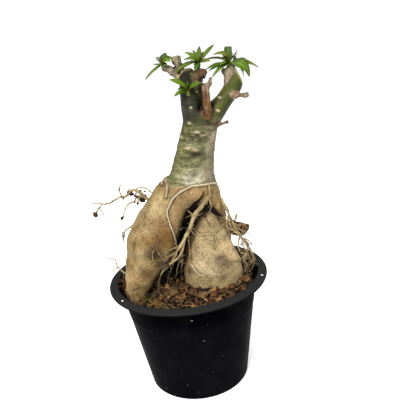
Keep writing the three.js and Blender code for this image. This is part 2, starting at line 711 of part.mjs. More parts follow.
// One arched blade: six points across, so that it has a midrib fold and real thickness.
function blade(base, tip, width, lift) {
  const { thickness, stations } = LEAF;
  const along = tip.clone().sub(base);
  const facing = new THREE.Vector3(0, -0.6, 0.8);
  const across = along.clone().cross(facing).normalize();
  const above = across.clone().cross(along).normalize();
  const positions = [];
  const triangles = [];
  for (let i = 0; i <= stations; i += 1) {
    const t = i / stations;
    const centre = base.clone().addScaledVector(along, t);
    centre.addScaledVector(above, 4 * lift * t * (1 - t));
    const half = (width / 2) * (i === stations ? 0.2 : bladeWidth(t));
    const fold = half * 0.28;
    for (const [side, top] of [[-1, 0.5], [0, 0.5], [1, 0.5], [1, -0.5], [0, -0.5], [-1, -0.5]]) {
      const point = centre.clone().addScaledVector(across, side * half);
      point.addScaledVector(above, top * thickness + Math.abs(side) * fold);
      positions.push(point.x, point.y, point.z);
    }
  }
  const ringSize = 6;
  for (let i = 0; i < stations; i += 1) {
    for (let n = 0; n < ringSize; n += 1) {
      const a = ringSize * i + n;
      const b = ringSize * i + ((n + 1) % ringSize);
      triangles.push(a, b, b + ringSize, a, b + ringSize, a + ringSize);
    }
  }
  const last = ringSize * stations;
  for (const [a, b, c] of [[0, 5, 4], [0, 4, 1], [1, 4, 3], [1, 3, 2]]) {
    triangles.push(a, b, c, last + a, last + c, last + b);
  }
  return solidOf(indexedGeometry(positions, triangles));
}

function buildRosette({ bud, budRadii, blades }, clearing) {
  const [foot, top] = bud.map(seen);
  const pieces = [tube([foot, foot.clone().lerp(top, 0.6), top], [budRadii[0], budRadii[0], budRadii[1]], 6)];
  const heart = foot.clone().lerp(top, 0.75);
  for (const { tip, width, lift } of blades) {
    pieces.push(blade(heart, seen(tip), width, lift));
  }
  return mainBody(joined(pieces).subtract(clearing));
}

// ---------------------------------------------------------------- the potting mix
// Bark chips read in the view: [px, py, length, width, turn in degrees].
const CHIPS_SEEN = [
  [174, 296, 22, 11, 75],
  [185, 287, 12, 8, 20],
  [193.5, 297, 14, 9, 60],
  [204, 299, 12, 10, 15],
  [197, 286, 9, 7, 40],
  [221, 295, 20, 7, 12],
  [241, 286, 12, 6, 70],
  [253, 271, 9, 6, 30],
];

function mixHeight(x, y) {
  const r = Math.hypot(x, y) / POT.bodyRadius;
  const lumps = Math.sin(x * 0.21 + 1.3) * Math.cos(y * 0.19) + 0.6 * Math.sin(x * 0.47 - y * 0.39);
  return MIX.level - MIX.edgeDrop * r * r + MIX.lump * 0.5 * lumps;
}

function chip(x, y, length, width, turn, tilt, thick) {
  const box = new THREE.BoxGeometry(length, width, thick, 1, 1, 1);
  const corners = box.attributes.position;
  for (let i = 0; i < corners.count; i += 1) {
    const pull = corners.getX(i) > 0 ? 0.72 : 1; // one end is narrower
    corners.setY(i, corners.getY(i) * pull);
    if (corners.getZ(i) > 0) {
      corners.setX(i, corners.getX(i) * 0.86);
      corners.setY(i, corners.getY(i) * 0.8);
    }
  }
  box.rotateX(tilt);
  box.rotateY(tilt * 0.7);
  box.rotateZ(turn);
  box.translate(x, y, mixHeight(x, y) + thick * 0.18);
  return solidOf(box);
}

function mixBlock() {
  const { rings, segments } = MIX;
  const inner = (z) => wallRadius(z) - POT.wall - GAP - 0.25;
  const top = MIX.level - MIX.edgeDrop;
  const bottom = POT.floor + GAP;
  const positions = [0, 0, mixHeight(0, 0)];
  const triangles = [];
  for (let ring = 1; ring <= rings + 1; ring += 1) {
    for (let n = 0; n < segments; n += 1) {
      const angle = (2 * Math.PI * n) / segments;
      const low = ring > rings;
      const radius = low ? inner(bottom) : (inner(top) * ring) / rings;
      const [x, y] = [radius * Math.cos(angle), radius * Math.sin(angle)];
      const height = ring === rings ? top : mixHeight(x, y);
      positions.push(x, y, low ? bottom : height);
    }
  }
  const foot = positions.length / 3;
  positions.push(0, 0, bottom);
  for (let n = 0; n < segments; n += 1) {
    const next = (n + 1) % segments;
    triangles.push(0, 1 + n, 1 + next);
    for (let ring = 0; ring < rings; ring += 1) {
      const [a, b] = [1 + ring * segments + n, 1 + ring * segments + next];
      triangles.push(a, a + segments, b + segments, a, b + segments, b);
    }
    triangles.push(foot, 1 + rings * segments + next, 1 + rings * segments + n);
  }
  const random = seeded(11);
  const pieces = [solidOf(indexedGeometry(positions, triangles))];
  for (const [px, py, length, width, turn] of CHIPS_SEEN) {
    const { eye, direction } = sightLine(px, py);
    const spot = eye.clone().addScaledVector(direction, (MIX.level + 1 - eye.z) / direction.z);
    spot.setZ(0).clampLength(0, inner(top) - length / 2 - 2);
    pieces.push(chip(spot.x, spot.y, length, width, THREE.MathUtils.degToRad(turn), 0.12, 6));
  }
  for (let n = 0; n < MIX.chips; n += 1) {
    const angle = 2 * Math.PI * random();
    const radius = 70 * Math.sqrt(0.1 + 0.9 * random());
    const length = 8 + 10 * random();
    const [turn, tilt] = [Math.PI * random(), 0.5 * (random() - 0.5)];
    pieces.push(
      chip(radius * Math.cos(angle), radius * Math.sin(angle), length, length * 0.55, turn, tilt, 3.5 + 2 * random()),
    );
  }
  return joined(pieces);
}

// ---------------------------------------------------------------- loose bark caught by the plant
// A flake behind the right roots: its outline from the caudex to the tip, as [px, py, y].
const FLAKE = {
  outline: [[226, 221, 20], [238, 221.5, 20], [248.8, 226, 20], [249.4, 229.4, 20], [242, 236.3, 20], [230, 234, 20]],
  thickness: 2.2,
};
// A small grey piece that lies over the wound of the left lobe.
const WOUND_PIECE = { at: [161.5, 264], length: 15, width: 8, thick: 5, turn: -12, stand: 1.2 };

function buildFlake(clearing) {
  const rim = FLAKE.outline.map(seen);
  const positions = [];
  for (const shift of [-0.5, 0.5]) {
    for (const point of rim) {
      positions.push(point.x, point.y + shift * FLAKE.thickness, point.z);
    }
  }
  const count = rim.length;
  const triangles = [];
  for (let n = 1; n + 1 < count; n += 1) {
    triangles.push(0, n + 1, n, count, count + n, count + n + 1);
  }
  for (let n = 0; n < count; n += 1) {
    const next = (n + 1) % count;
    triangles.push(n, next, count + next, n, count + next, count + n);
  }
  const plate = solidOf(indexedGeometry(positions, triangles));
  return mainBody(plate.subtract(clearing));
}

function buildWoundPiece(clearing) {
  const spot = onCaudex(...WOUND_PIECE.at);
  const box = new THREE.BoxGeometry(WOUND_PIECE.length, WOUND_PIECE.thick, WOUND_PIECE.width, 2, 1, 2);
  box.rotateY(THREE.MathUtils.degToRad(-WOUND_PIECE.turn));
  box.translate(spot.x, spot.y - WOUND_PIECE.stand, spot.z);
  return mainBody(solidOf(box).subtract(clearing));
}

// ---------------------------------------------------------------- the whole plant
const clearing = joined([buildWood(GAP), ...fastRoots(GAP)]);
const wood = mainBody(joined([buildWood(0), ...fastRoots()]));
const mix = mixBlock();
const nudges = [[0, 0], [1, 0], [-1, 0], [0, 1], [0, -1]].map(([x, y]) => [GAP * x, GAP * y, GAP]);
const rootClearing = joined([clearing, ...nudges.map((nudge) => mix.translate(nudge))]);
const roots = Object.entries(ROOT_BUNCHES).map(([name, strands]) => [name, buildRoots(strands, rootClearing)]);

const plant = new THREE.Group();
plant.add(meshOf(buildPot(), "pot", finish(COLOURS.pot, 0.4)));
plant.add(meshOf(mainBody(mix.subtract(clearing)), "potting_mix", finish(COLOURS.mix, 0.95)));
plant.add(meshOf(wood, "caudex_and_stems", finish(COLOURS.wood, 0.8)));
for (const [name, solid] of roots) {
  plant.add(meshOf(solid, name, finish(COLOURS.root, 0.8)));
}
for (const [name, rosette] of Object.entries(ROSETTES)) {
  plant.add(meshOf(buildRosette(rosette, clearing), name, finish(COLOURS.leaf, 0.45)));
}

plant.add(meshOf(buildFlake(clearing), "bark_flake", finish(COLOURS.bark, 0.85)));
plant.add(meshOf(buildWoundPiece(clearing), "bark_piece", finish(COLOURS.bark, 0.9)));

export default plant;
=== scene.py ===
# %% [markdown]
# # A desert rose in its nursery pot
# A desert rose stores water in a swollen base, the caudex. This one has been lifted so
# that its split lobes and thin roots show above the bark mix. The lesson dresses a packed
# model of it: the frame gives the true sizes, and every piece below is laid on that frame.

# %% Load the frame
import math

import bmesh
import bpy
import numpy as np
from mathutils import Matrix, Vector
from mathutils.kdtree import KDTree


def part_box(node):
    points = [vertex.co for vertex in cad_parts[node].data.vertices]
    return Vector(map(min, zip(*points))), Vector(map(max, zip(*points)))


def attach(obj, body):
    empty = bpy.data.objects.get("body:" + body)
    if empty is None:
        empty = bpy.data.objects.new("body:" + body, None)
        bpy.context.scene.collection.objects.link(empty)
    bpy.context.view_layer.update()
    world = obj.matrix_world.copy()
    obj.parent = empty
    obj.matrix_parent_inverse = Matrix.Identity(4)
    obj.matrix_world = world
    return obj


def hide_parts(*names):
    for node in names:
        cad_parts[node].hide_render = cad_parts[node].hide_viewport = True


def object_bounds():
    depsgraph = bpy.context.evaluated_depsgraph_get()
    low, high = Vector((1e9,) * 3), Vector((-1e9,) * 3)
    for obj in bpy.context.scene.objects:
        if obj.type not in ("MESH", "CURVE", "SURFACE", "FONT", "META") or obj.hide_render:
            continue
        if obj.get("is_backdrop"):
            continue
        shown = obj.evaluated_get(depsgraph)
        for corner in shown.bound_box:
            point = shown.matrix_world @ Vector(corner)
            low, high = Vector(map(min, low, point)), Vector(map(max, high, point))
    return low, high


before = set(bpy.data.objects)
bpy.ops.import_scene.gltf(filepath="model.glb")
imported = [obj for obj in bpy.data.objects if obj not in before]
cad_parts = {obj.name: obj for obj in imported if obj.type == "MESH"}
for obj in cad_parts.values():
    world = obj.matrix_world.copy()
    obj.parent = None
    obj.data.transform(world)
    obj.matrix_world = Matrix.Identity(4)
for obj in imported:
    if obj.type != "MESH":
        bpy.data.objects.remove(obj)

MM = 0.001  # the lesson works in millimetres and Blender in metres
frame_box = [list(corner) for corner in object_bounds()]
print("nodes:", ", ".join(sorted(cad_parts)))

# %% [markdown]
# ## The camera
# The plant was looked at from a little above, with the pot leaning to the left in the
# picture. A sight line for each point of that 400 by 400 picture gives a quick way to say
# where a root or a leaf shows, and the camera is built from the same numbers.

# %% Sight lines
EYE = np.array([26.0, -617.5, 441.8])
TILT = math.radians(18.2)
ROLL = math.radians(6.66)
PICTURE = 400
FOCAL = 533.2  # in picture elements
FORWARD = np.array([0.0, math.cos(TILT), -math.sin(TILT)])
UPWARD = np.array([0.0, math.sin(TILT), math.cos(TILT)])
RIGHTWARD = np.array([1.0, 0.0, 0.0])


def sight_line(px, py):
    du, dv = px - PICTURE / 2, py - PICTURE / 2
    u = (du * math.cos(ROLL) - dv * math.sin(ROLL)) / FOCAL
    v = (du * math.sin(ROLL) + dv * math.cos(ROLL)) / FOCAL
    return FORWARD + RIGHTWARD * u - UPWARD * v


def seen(px, py, y):
    """The point that shows at (px, py) and lies at the depth y."""
    line = sight_line(px, py)
    return EYE + line * (y - EYE[1]) / line[1]


print("the middle of the picture at y = 0 is", seen(PICTURE / 2, PICTURE / 2, 0).round(1))

# %% Camera
def new_object(name, data):
    made = bpy.data.objects.new(name, data)
    bpy.context.scene.collection.objects.link(made)
    return made


camera_data = bpy.data.cameras.new("view")
camera_data.sensor_width = 36.0
camera_data.lens = FOCAL / PICTURE * camera_data.sensor_width
camera_data.clip_end = 50.0
camera = new_object("view", camera_data)
turned_right = RIGHTWARD * math.cos(ROLL) - UPWARD * math.sin(ROLL)
turned_up = RIGHTWARD * math.sin(ROLL) + UPWARD * math.cos(ROLL)
columns = np.column_stack([turned_right, turned_up, -FORWARD, EYE * MM])
camera.matrix_world = Matrix([*columns.tolist(), (0, 0, 0, 1)])
bpy.context.scene.camera = camera
print(f"lens {camera_data.lens:.1f} mm")

# %% [markdown]
# ## Soft light and a pale floor
# A large lamp high in front, two weaker ones and a bright sky give the soft shading of a
# photograph on white. The floor is a plain pale sheet.

# %% Floor, sky and lamps
FLOOR_HALF_WIDTH, FLOOR_DROP = 8.0, 0.0004  # in metres; the floor lies a hair under the pot
SKY_STRENGTH = 1.08  # just enough for the floor to meet the sky without a line
PLANT_MIDDLE = Vector((0, 0, 0.24))
LAMPS = {  # place and size in metres, power in watts, tint
    "key": ((-0.42, -1.25, 1.25), 0.5, 62, (1.0, 0.985, 0.96)),
    "fill": ((1.2, -0.9, 0.7), 1.0, 5, (1, 1, 1)),
    "rim": ((0.5, 1.2, 1.2), 1.0, 12, (1, 1, 1)),
}
LIGHT_GAIN = 2.9  # how many times brighter than white paper a white piece would show here


def stage_floor():
    corners = [(x * FLOOR_HALF_WIDTH, y * FLOOR_HALF_WIDTH, -FLOOR_DROP)
               for x, y in ((-1, -1), (1, -1), (1, 1), (-1, 1))]
    mesh = bpy.data.meshes.new("floor")
    mesh.from_pydata(corners, [], [(0, 1, 2, 3)])
    pale = bpy.data.materials.new("pale_floor")
    pale.use_nodes = True
    shader = pale.node_tree.nodes["Principled BSDF"]
    shader.inputs["Base Color"].default_value = (0.95, 0.95, 0.95, 1)
    shader.inputs["Roughness"].default_value = 0.9
    shader.inputs["Specular IOR Level"].default_value = 0.1
    mesh.materials.append(pale)
    floor = new_object("floor", mesh)
    floor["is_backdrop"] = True


def soft_lamp(name, place, size, power, tint):
    data = bpy.data.lights.new(name, "AREA")
    data.size, data.energy, data.color = size, power, tint
    lamp = new_object(name, data)
    lamp.location = place
    lamp.rotation_euler = (PLANT_MIDDLE - Vector(place)).to_track_quat("-Z", "Y").to_euler()


sky = bpy.data.worlds.new("soft_sky")
sky.use_nodes = True
sky.node_tree.nodes["Background"].inputs["Color"].default_value = (1, 1, 1, 1)
sky.node_tree.nodes["Background"].inputs["Strength"].default_value = SKY_STRENGTH
bpy.context.scene.world = sky
stage_floor()
for name, settings in LAMPS.items():
    soft_lamp(name, *settings)
print(len(LAMPS), "lamps and a floor")

# %% [markdown]
# ## Making meshes from numbers
# Most pieces here are grown from formulas, so one helper turns points and faces into an
# object that rides on the frame's one body, with any painted values that its material
# reads as attributes.

# %% Mesh helper
def paint_points(mesh, tints):
    """Writes a colour for each point, under the name that the materials read."""
    layer = mesh.attributes.get("tint") or mesh.attributes.new("tint", "FLOAT_COLOR", "POINT")
    four = np.ones((len(mesh.vertices), 4), dtype=np.float32)
    four[:, :3] = tints
    layer.data.foreach_set("color", four.ravel())


def add_piece(name, points_mm, faces, material, tints, values=None, uv=None, smooth=True):
    """Makes a painted mesh and puts it on the frame's one body."""
    mesh = bpy.data.meshes.new(name)
    points = (np.asarray(points_mm, dtype=float) * MM).tolist()
    mesh.from_pydata(points, [], [tuple(map(int, face)) for face in faces])
    for label, numbers in (values or {}).items():
        layer = mesh.attributes.new(label, "FLOAT", "POINT")
        layer.data.foreach_set("value", np.asarray(numbers, dtype=np.float32))
    paint_points(mesh, tints)
    if uv is not None:
        layer = mesh.uv_layers.new(name="UVMap")
        corners = np.zeros(len(mesh.loops), dtype=np.int64)
        mesh.loops.foreach_get("vertex_index", corners)
        layer.data.foreach_set("uv", np.asarray(uv, dtype=np.float32)[corners].ravel())
    mesh.validate()
    if smooth:
        mesh.shade_smooth()
    mesh.materials.append(material)
    piece = new_object(name, mesh)
    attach(piece, "root")
    print(f"{name}: {len(mesh.vertices)} points, {len(mesh.polygons)} faces")
    return piece


class Heap:
    """Collects small meshes so that they end up as one piece."""

    def __init__(self):
        self.points, self.faces, self.tints, self.uvs, self.count = [], [], [], [], 0

    def add(self, points, faces, tint=(1, 1, 1), uv=None):
        points = np.asarray(points, dtype=float)
        self.points.append(points)
        self.faces += [[index + self.count for index in face] for face in faces]
        self.tints.append(np.broadcast_to(np.asarray(tint, dtype=float), (len(points), 3)))
        self.uvs.append(np.zeros((len(points), 2)) if uv is None else np.asarray(uv, dtype=float))
        self.count += len(points)

    def piece(self, name, material, slot, smooth=True):
        return add_piece(name, np.vstack(self.points), self.faces, material, np.vstack(self.tints),
                         uv=np.vstack(self.uvs), smooth=smooth)


# %% Rings of points and the faces between them
def level_ring(radius, z, count):
    angles = 2 * np.pi * np.arange(count) / count
    return np.stack([radius * np.cos(angles), radius * np.sin(angles), np.full(count, z)], 1)


def bands(rings, count, start=0, inward=False):
    """Quads from each ring of `count` points to the next; `inward` turns them over."""
    faces = []
    for low in range(start, start + (rings - 1) * count, count):
        for n in range(count):
            a, b = low + n, low + (n + 1) % count
            faces.append((a, a + count, b + count, b) if inward else (a, b, b + count, a + count))
    return faces


def fan(tip, start, count, inward=False):
    """Triangles from one point to every side of a ring."""
    sides = [(start + n, start + (n + 1) % count) for n in range(count)]
    return [(tip, b, a) if inward else (tip, a, b) for a, b in sides]


print("faces of a six-sided band:", bands(2, 6)[:2], "...")

# %% Smooth random values in space
CORNERS = list(np.ndindex(2, 2, 2))  # the eight corners of a grid cell
STIR, SEED_STIR, LAST_STIR = np.array([374761393, 668265263, 2147483647]), 144665, 1274126177
LOW_32 = 0xFFFFFFFF


def corner_weight(part, corner):
    """How much a corner of a cell counts at places that lie `part` of the way across the cell."""
    return math.prod(p if c else 1 - p for p, c in zip(part, corner))


def lattice_noise(points, size, seed=0):
    """Values between -1 and 1 with soft bumps about `size` wide; size may be one number or three."""
    scaled = np.asarray(points, dtype=float) / np.asarray(size, dtype=float)
    cell = np.floor(scaled).astype(np.int64)
    part = scaled - cell
    part = part * part * (3 - 2 * part)
    total = np.zeros(len(scaled))
    for corner in CORNERS:
        key = ((cell + corner) @ STIR + seed * SEED_STIR) & LOW_32
        key = ((key ^ (key >> 13)) * LAST_STIR) & LOW_32
        total += corner_weight(part.T, corner) * (((key ^ (key >> 16)) & 0xFFFF) / 32767.5 - 1)
    return total


def layered_noise(points, size, seed=0, layers=3):
    size = np.asarray(size, dtype=float)
    total = sum(lattice_noise(points, size / 2 ** n, seed + n) / 2 ** n for n in range(layers))
    return total / (2 - 0.5 ** (layers - 1))


def smooth_step(low, high, value):
    t = np.clip((value - low) / (high - low), 0, 1)
    return t * t * (3 - 2 * t)


def mixed(a, b, part):
    """a where part is 0, b where it is 1."""
    return a * (1 - part) + b * part


def unit(vector):
    vector = np.asarray(vector, dtype=float)
    return vector / np.linalg.norm(vector)


print("noise at three points:", lattice_noise([[0.5, 0, 0], [3, 4, 5], [9, 1, 2]], 2).round(2))

# %% [markdown]
# ## Shader effects that several finishes share
# Bark, roots, chips and soil all have fine mottling and grain, and the pot and the leaves
# both carry a little dust. Each effect is a node group, built once and placed in each
# material with its own values. The groups give out colours, masks and heights only.

# %% Node helpers
def put(tree, kind, inputs=None, **settings):
    """Adds a node; an input is either a value or a socket to link."""
    made = tree.nodes.new(kind)
    for label, setting in settings.items():
        setattr(made, label, setting)
    for key, value in (inputs or {}).items():
        if isinstance(value, bpy.types.NodeSocket):
            tree.links.new(value, made.inputs[key])
        else:
            made.inputs[key].default_value = value
    return made


def calc(tree, operation, *numbers, clamp=False):
    return put(tree, "ShaderNodeMath", dict(enumerate(numbers)), operation=operation,
               use_clamp=clamp).outputs[0]


def blend(tree, factor, a, b, how="MIX"):
    return put(tree, "ShaderNodeMix", {0: factor, 6: a, 7: b}, data_type="RGBA", blend_type=how).outputs[2]


def stain(tree, mask, colour, factor):
    """The colour, multiplied by the factor where the mask is 1."""
    return blend(tree, mask, colour, blend(tree, 1.0, colour, (*factor, 1), "MULTIPLY"))


def spread(tree, value, low, high, to_low=0.0, to_high=1.0):
    """Stretches value from low..high to to_low..to_high, held at the ends."""
    return put(tree, "ShaderNodeMapRange", {0: value, 1: low, 2: high, 3: to_low, 4: to_high}).outputs[0]


def noise(tree, vector, scale, detail=4.0, roughness=0.55):
    return put(tree, "ShaderNodeTexNoise", {
        "Vector": vector, "Scale": scale, "Detail": detail, "Roughness": roughness}).outputs["Fac"]


def scaled(tree, vector, by):
    return put(tree, "ShaderNodeVectorMath", {0: vector, "Scale": by}, operation="SCALE").outputs[0]


def stretched(tree, vector, by):
    return put(tree, "ShaderNodeVectorMath", {0: vector, 1: by}, operation="MULTIPLY").outputs[0]


def group_of(name, inputs, outputs):
    group = bpy.data.node_groups.new(name, "ShaderNodeTree")
    for label, kind, value in inputs:
        socket = group.interface.new_socket(label, in_out="INPUT", socket_type=kind)
        if value is not None:
            socket.default_value = value
    for label, kind in outputs:
        group.interface.new_socket(label, in_out="OUTPUT", socket_type=kind)
    return group, put(group, "NodeGroupInput").outputs, put(group, "NodeGroupOutput").inputs


def use_group(tree, group, colour, vector, **values):
    inputs = {"Colour": colour, "Vector": vector, **values}
    return put(tree, "ShaderNodeGroup", inputs, node_tree=group).outputs


FLOAT, COLOUR, VECTOR = "NodeSocketFloat", "NodeSocketColor", "NodeSocketVector"

# %% Mottled skin group
def make_mottle():
    """Plant skin: cloudy patches, brown blotches, fine dark speckles and pale flecks."""
    group, given, out = group_of(
        "mottled_skin",
        [("Colour", COLOUR, (0.5, 0.4, 0.2, 1)), ("Patch", FLOAT, 0.3), ("Speckle", FLOAT, 0.5),
         ("Fleck", FLOAT, 0.3), ("Size", FLOAT, 1.0), ("Vector", VECTOR, None)],
        [("Colour", COLOUR), ("Height", FLOAT)])
    vector = scaled(group, given["Vector"], given["Size"])
    cloud, blotch = noise(group, vector, 45, 3), noise(group, vector, 150, 4, 0.65)
    fine, grit = noise(group, vector, 700, 5, 0.7), noise(group, vector, 950, 3, 0.7)
    bright = calc(group, "MULTIPLY_ADD", spread(group, cloud, 0.3, 0.7, -1.0, 1.0), given["Patch"], 1.0)
    clouded = put(group, "ShaderNodeCombineColor", {0: bright, 1: bright, 2: bright}).outputs[0]
    colour = blend(group, 1.0, given["Colour"], clouded, "MULTIPLY")
    stains = calc(group, "MULTIPLY", spread(group, blotch, 0.5, 0.64), given["Patch"], clamp=True)
    specks = calc(group, "MULTIPLY", spread(group, fine, 0.5, 0.585), given["Speckle"], clamp=True)
    flecks = calc(group, "MULTIPLY", spread(group, grit, 0.53, 0.62), given["Fleck"], clamp=True)
    for mask, factor in ((stains, (0.52, 0.4, 0.26)), (specks, (0.37, 0.3, 0.21)),
                         (flecks, (1.9, 1.9, 1.8))):
        colour = stain(group, mask, colour, factor)
    group.links.new(colour, out["Colour"])
    height = calc(group, "SUBTRACT", calc(group, "MULTIPLY", grit, 0.5),
                  calc(group, "MULTIPLY", specks, 0.8))
    group.links.new(height, out["Height"])
    return group


MOTTLE = make_mottle()
print("group:", MOTTLE.name)

# %% Long grain group
def make_grain():
    """Fibres that run along one direction, as on dry wood, roots and bark."""
    group, given, out = group_of(
        "long_grain",
        [("Colour", COLOUR, (0.4, 0.25, 0.12, 1)), ("Depth", FLOAT, 0.6), ("Fineness", FLOAT, 1.0),
         ("Stretch", VECTOR, (1, 1, 0.1)), ("Vector", VECTOR, None)],
        [("Colour", COLOUR), ("Height", FLOAT)])
    vector = scaled(group, stretched(group, given["Vector"], given["Stretch"]), given["Fineness"])
    fibre, streak = noise(group, vector, 700, 4, 0.6), noise(group, vector, 230, 2, 0.5)
    both = calc(group, "ADD", calc(group, "MULTIPLY", fibre, 0.6), calc(group, "MULTIPLY", streak, 0.4))
    valley = calc(group, "MULTIPLY", spread(group, both, 0.55, 0.38), given["Depth"], clamp=True)
    ridge = calc(group, "MULTIPLY", spread(group, both, 0.55, 0.68), 0.5)
    colour = stain(group, valley, given["Colour"], (0.26, 0.2, 0.14))
    group.links.new(stain(group, ridge, colour, (1.8, 1.75, 1.6)), out["Colour"])
    group.links.new(both, out["Height"])
    return group


GRAIN = make_grain()
print("group:", GRAIN.name)

# %% Fine cracks group
def make_cracks():
    """Thin dark cracks between small cells of skin, as on bark or dried clay."""
    group, given, out = group_of(
        "fine_cracks",
        [("Colour", COLOUR, (0.4, 0.3, 0.2, 1)), ("Depth", FLOAT, 0.5), ("Cells", FLOAT, 300.0),
         ("Stretch", VECTOR, (1, 1, 0.4)), ("Vector", VECTOR, None)],
        [("Colour", COLOUR), ("Height", FLOAT)])
    drawn = stretched(group, given["Vector"], given["Stretch"])
    away = put(group, "ShaderNodeTexVoronoi", {"Vector": drawn, "Scale": given["Cells"]},
               feature="DISTANCE_TO_EDGE").outputs["Distance"]
    broken = spread(group, noise(group, given["Vector"], 110, 3), 0.4, 0.6)
    lines = calc(group, "MULTIPLY", spread(group, away, 0.16, 0.0), broken)
    mask = calc(group, "MULTIPLY", lines, given["Depth"], clamp=True)
    group.links.new(stain(group, mask, given["Colour"], (0.3, 0.22, 0.15)), out["Colour"])
    group.links.new(calc(group, "MULTIPLY", mask, -1.0), out["Height"])
    return group


CRACKS_GROUP = make_cracks()
print("group:", CRACKS_GROUP.name)

# %% Settled dust group
def make_dust():
    """Specks of dust and dried splashes on smooth surfaces."""
    group, given, out = group_of(
        "settled_dust",
        [("Colour", COLOUR, (0.02, 0.02, 0.02, 1)), ("Dust", COLOUR, (0.3, 0.25, 0.18, 1)),
         ("Amount", FLOAT, 0.3), ("Vector", VECTOR, None)],
        [("Colour", COLOUR), ("Mask", FLOAT)])
    specks = spread(group, noise(group, given["Vector"], 900, 2, 0.7), 0.66, 0.74)
    drifts = spread(group, noise(group, given["Vector"], 38, 3, 0.6), 0.5, 0.8)
    film = calc(group, "ADD", calc(group, "MULTIPLY", specks, 0.7), calc(group, "MULTIPLY", drifts, 0.22))
    mask = calc(group, "MULTIPLY", film, given["Amount"], clamp=True)
    group.links.new(blend(group, mask, given["Colour"], given["Dust"]), out["Colour"])
    group.links.new(mask, out["Mask"])
    return group


DUST = make_dust()
print("group:", DUST.name)

# %% Material helper
def finish_of(name):
    """A new material with its tree, shader, object coordinates and the painted tint."""
    material = bpy.data.materials.new(name)
    material.use_nodes = True
    tree = material.node_tree
    shader = tree.nodes["Principled BSDF"]
    place = put(tree, "ShaderNodeTexCoord").outputs["Object"]
    tint = put(tree, "ShaderNodeAttribute", attribute_name="tint").outputs["Color"]
    return material, tree, shader, place, tint


def raise_surface(tree, shader, height, strength, distance):
    bump = put(tree, "ShaderNodeBump", {"Height": height, "Strength": strength, "Distance": distance})
    tree.links.new(bump.outputs[0], shader.inputs["Normal"])


def paint(red, green, blue):
    """A colour as it should show in this light, from 0 to 255, as the linear values that shaders use."""
    part = np.array([red, green, blue]) / 255
    return np.where(part <= 0.04045, part / 12.92, ((part + 0.055) / 1.055) ** 2.4) / LIGHT_GAIN


print("pale root colour:", paint(198, 185, 147).round(3))

# %% [markdown]
# ## The nursery pot
# A nursery pot is thin moulded plastic: a tapered wall, a flat flange that slopes up to the
# mouth, a lip turned down at its edge, and fine rings under the flange that stiffen it.
# A cylinder with loop cuts could be edited into it, but a profile turned round the axis
# keeps every ring at its true size, and one Boolean then makes the holes.

# %% Pot sizes
POT_HEIGHT = 142.0
RIM_RADIUS, MOUTH_RADIUS = 100.0, 90.0
BODY_RADIUS, BASE_RADIUS = 85.5, 64.0
WALL, FLOOR = 1.6, 2.4
SHOULDER = POT_HEIGHT - 6
FINE_RINGS = dict(low=104.5, pitch=2.9, count=10, proud=0.5)
FAINT_RINGS = dict(low=30.0, pitch=7.3, count=10, proud=0.12)
HANGER_HOLES = dict(radius=1.4, circle=95.0, angles=(-17.5, -146, 98))
DRAIN_HOLES = dict(radius=4.0, circle=42.0, angles=[60 * n + 30 for n in range(6)])
POT_SEGMENTS, HOLE_SEGMENTS = 160, 24


def wall_radius(z):
    return BASE_RADIUS + (BODY_RADIUS - BASE_RADIUS) * z / SHOULDER


def ring_height(z):
    """How far the moulded rings stand out of the wall at the height z."""
    proud = 0.0
    for rings in (FINE_RINGS, FAINT_RINGS):
        for n in range(rings["count"]):
            away = (z - rings["low"] - n * rings["pitch"]) / (rings["pitch"] * 0.3)
            proud = max(proud, rings["proud"] * math.exp(-away * away))
    return proud


def pot_profile():
    """(radius, height) points from the middle of the underside round to the middle of the floor."""
    steps = np.concatenate([np.arange(3, 26, 4), np.arange(26, 103, 1.7), np.arange(103, SHOULDER, 0.62)])
    foot = [(0, 0), *((BASE_RADIUS - back, up) for back, up in ((6, 0), (3, 0), (0.8, 0.6))),
            (wall_radius(2), 1.8)]
    wall = [(wall_radius(z) + ring_height(z), float(z)) for z in steps]
    shoulder = [(BODY_RADIUS + out, SHOULDER + up) for out,
                up in ((0, 0), (0.5, 1.4), (1.6, 2.6), (5, 4.8))]
    lip = [(RIM_RADIUS - back, POT_HEIGHT + up) for back, up in (
        (2.6, -1.9), (1.9, -2.4), (1.8, -3.1), (1.2, -3.3), (0.5, -3), (0, -2), (0, -0.9), (0.4, -0.1),
                                                                 (1.2, 0.3))]
    mouth = [(MOUTH_RADIUS + out, POT_HEIGHT + up) for out, up in (
        (2, 1.95), (0.8, 2.2), (0, 2.1), (-0.6, 1.7), (-1.4, 0.6))]
    inside = [(BODY_RADIUS + 1.4, POT_HEIGHT - 1.2), (BODY_RADIUS - 0.4, POT_HEIGHT - 3)]
    inside += [(BODY_RADIUS - WALL, SHOULDER), *((wall_radius(z) - WALL, z) for z in (60, FLOOR)),
               (0, FLOOR)]
    return foot + wall + shoulder + lip + mouth + inside


print("points in the profile:", len(pot_profile()))

# %% Turned bodies
def turned(profile, segments):
    """Turns (radius, height) points round the axis; both ends of the profile lie on the axis."""
    rings = [level_ring(radius, z, segments) for radius, z in profile[1:-1]]
    points = np.vstack([*rings, (0, 0, profile[0][1]), (0, 0, profile[-1][1])])
    low, high = len(points) - 2, len(points) - 1
    faces = bands(len(rings), segments) + fan(low, 0, segments, inward=True)
    return points, faces + fan(high, (len(rings) - 1) * segments, segments)


def hole_place(holes, degrees, height):
    angle = math.radians(degrees)
    return holes["circle"] * math.cos(angle), holes["circle"] * math.sin(angle), height


def hole_plugs(reach=6):
    """The cylinders that are cut out of the pot, `reach` above and below the plane of each hole."""
    heap = Heap()
    for holes, height in ((HANGER_HOLES, POT_HEIGHT), (DRAIN_HOLES, 0)):
        ends = [(0, -reach), (holes["radius"], -reach), (holes["radius"], reach), (0, reach)]
        for degrees in holes["angles"]:
            points, faces = turned(ends, HOLE_SEGMENTS)
            heap.add(points + hole_place(holes, degrees, height), faces)
    return heap


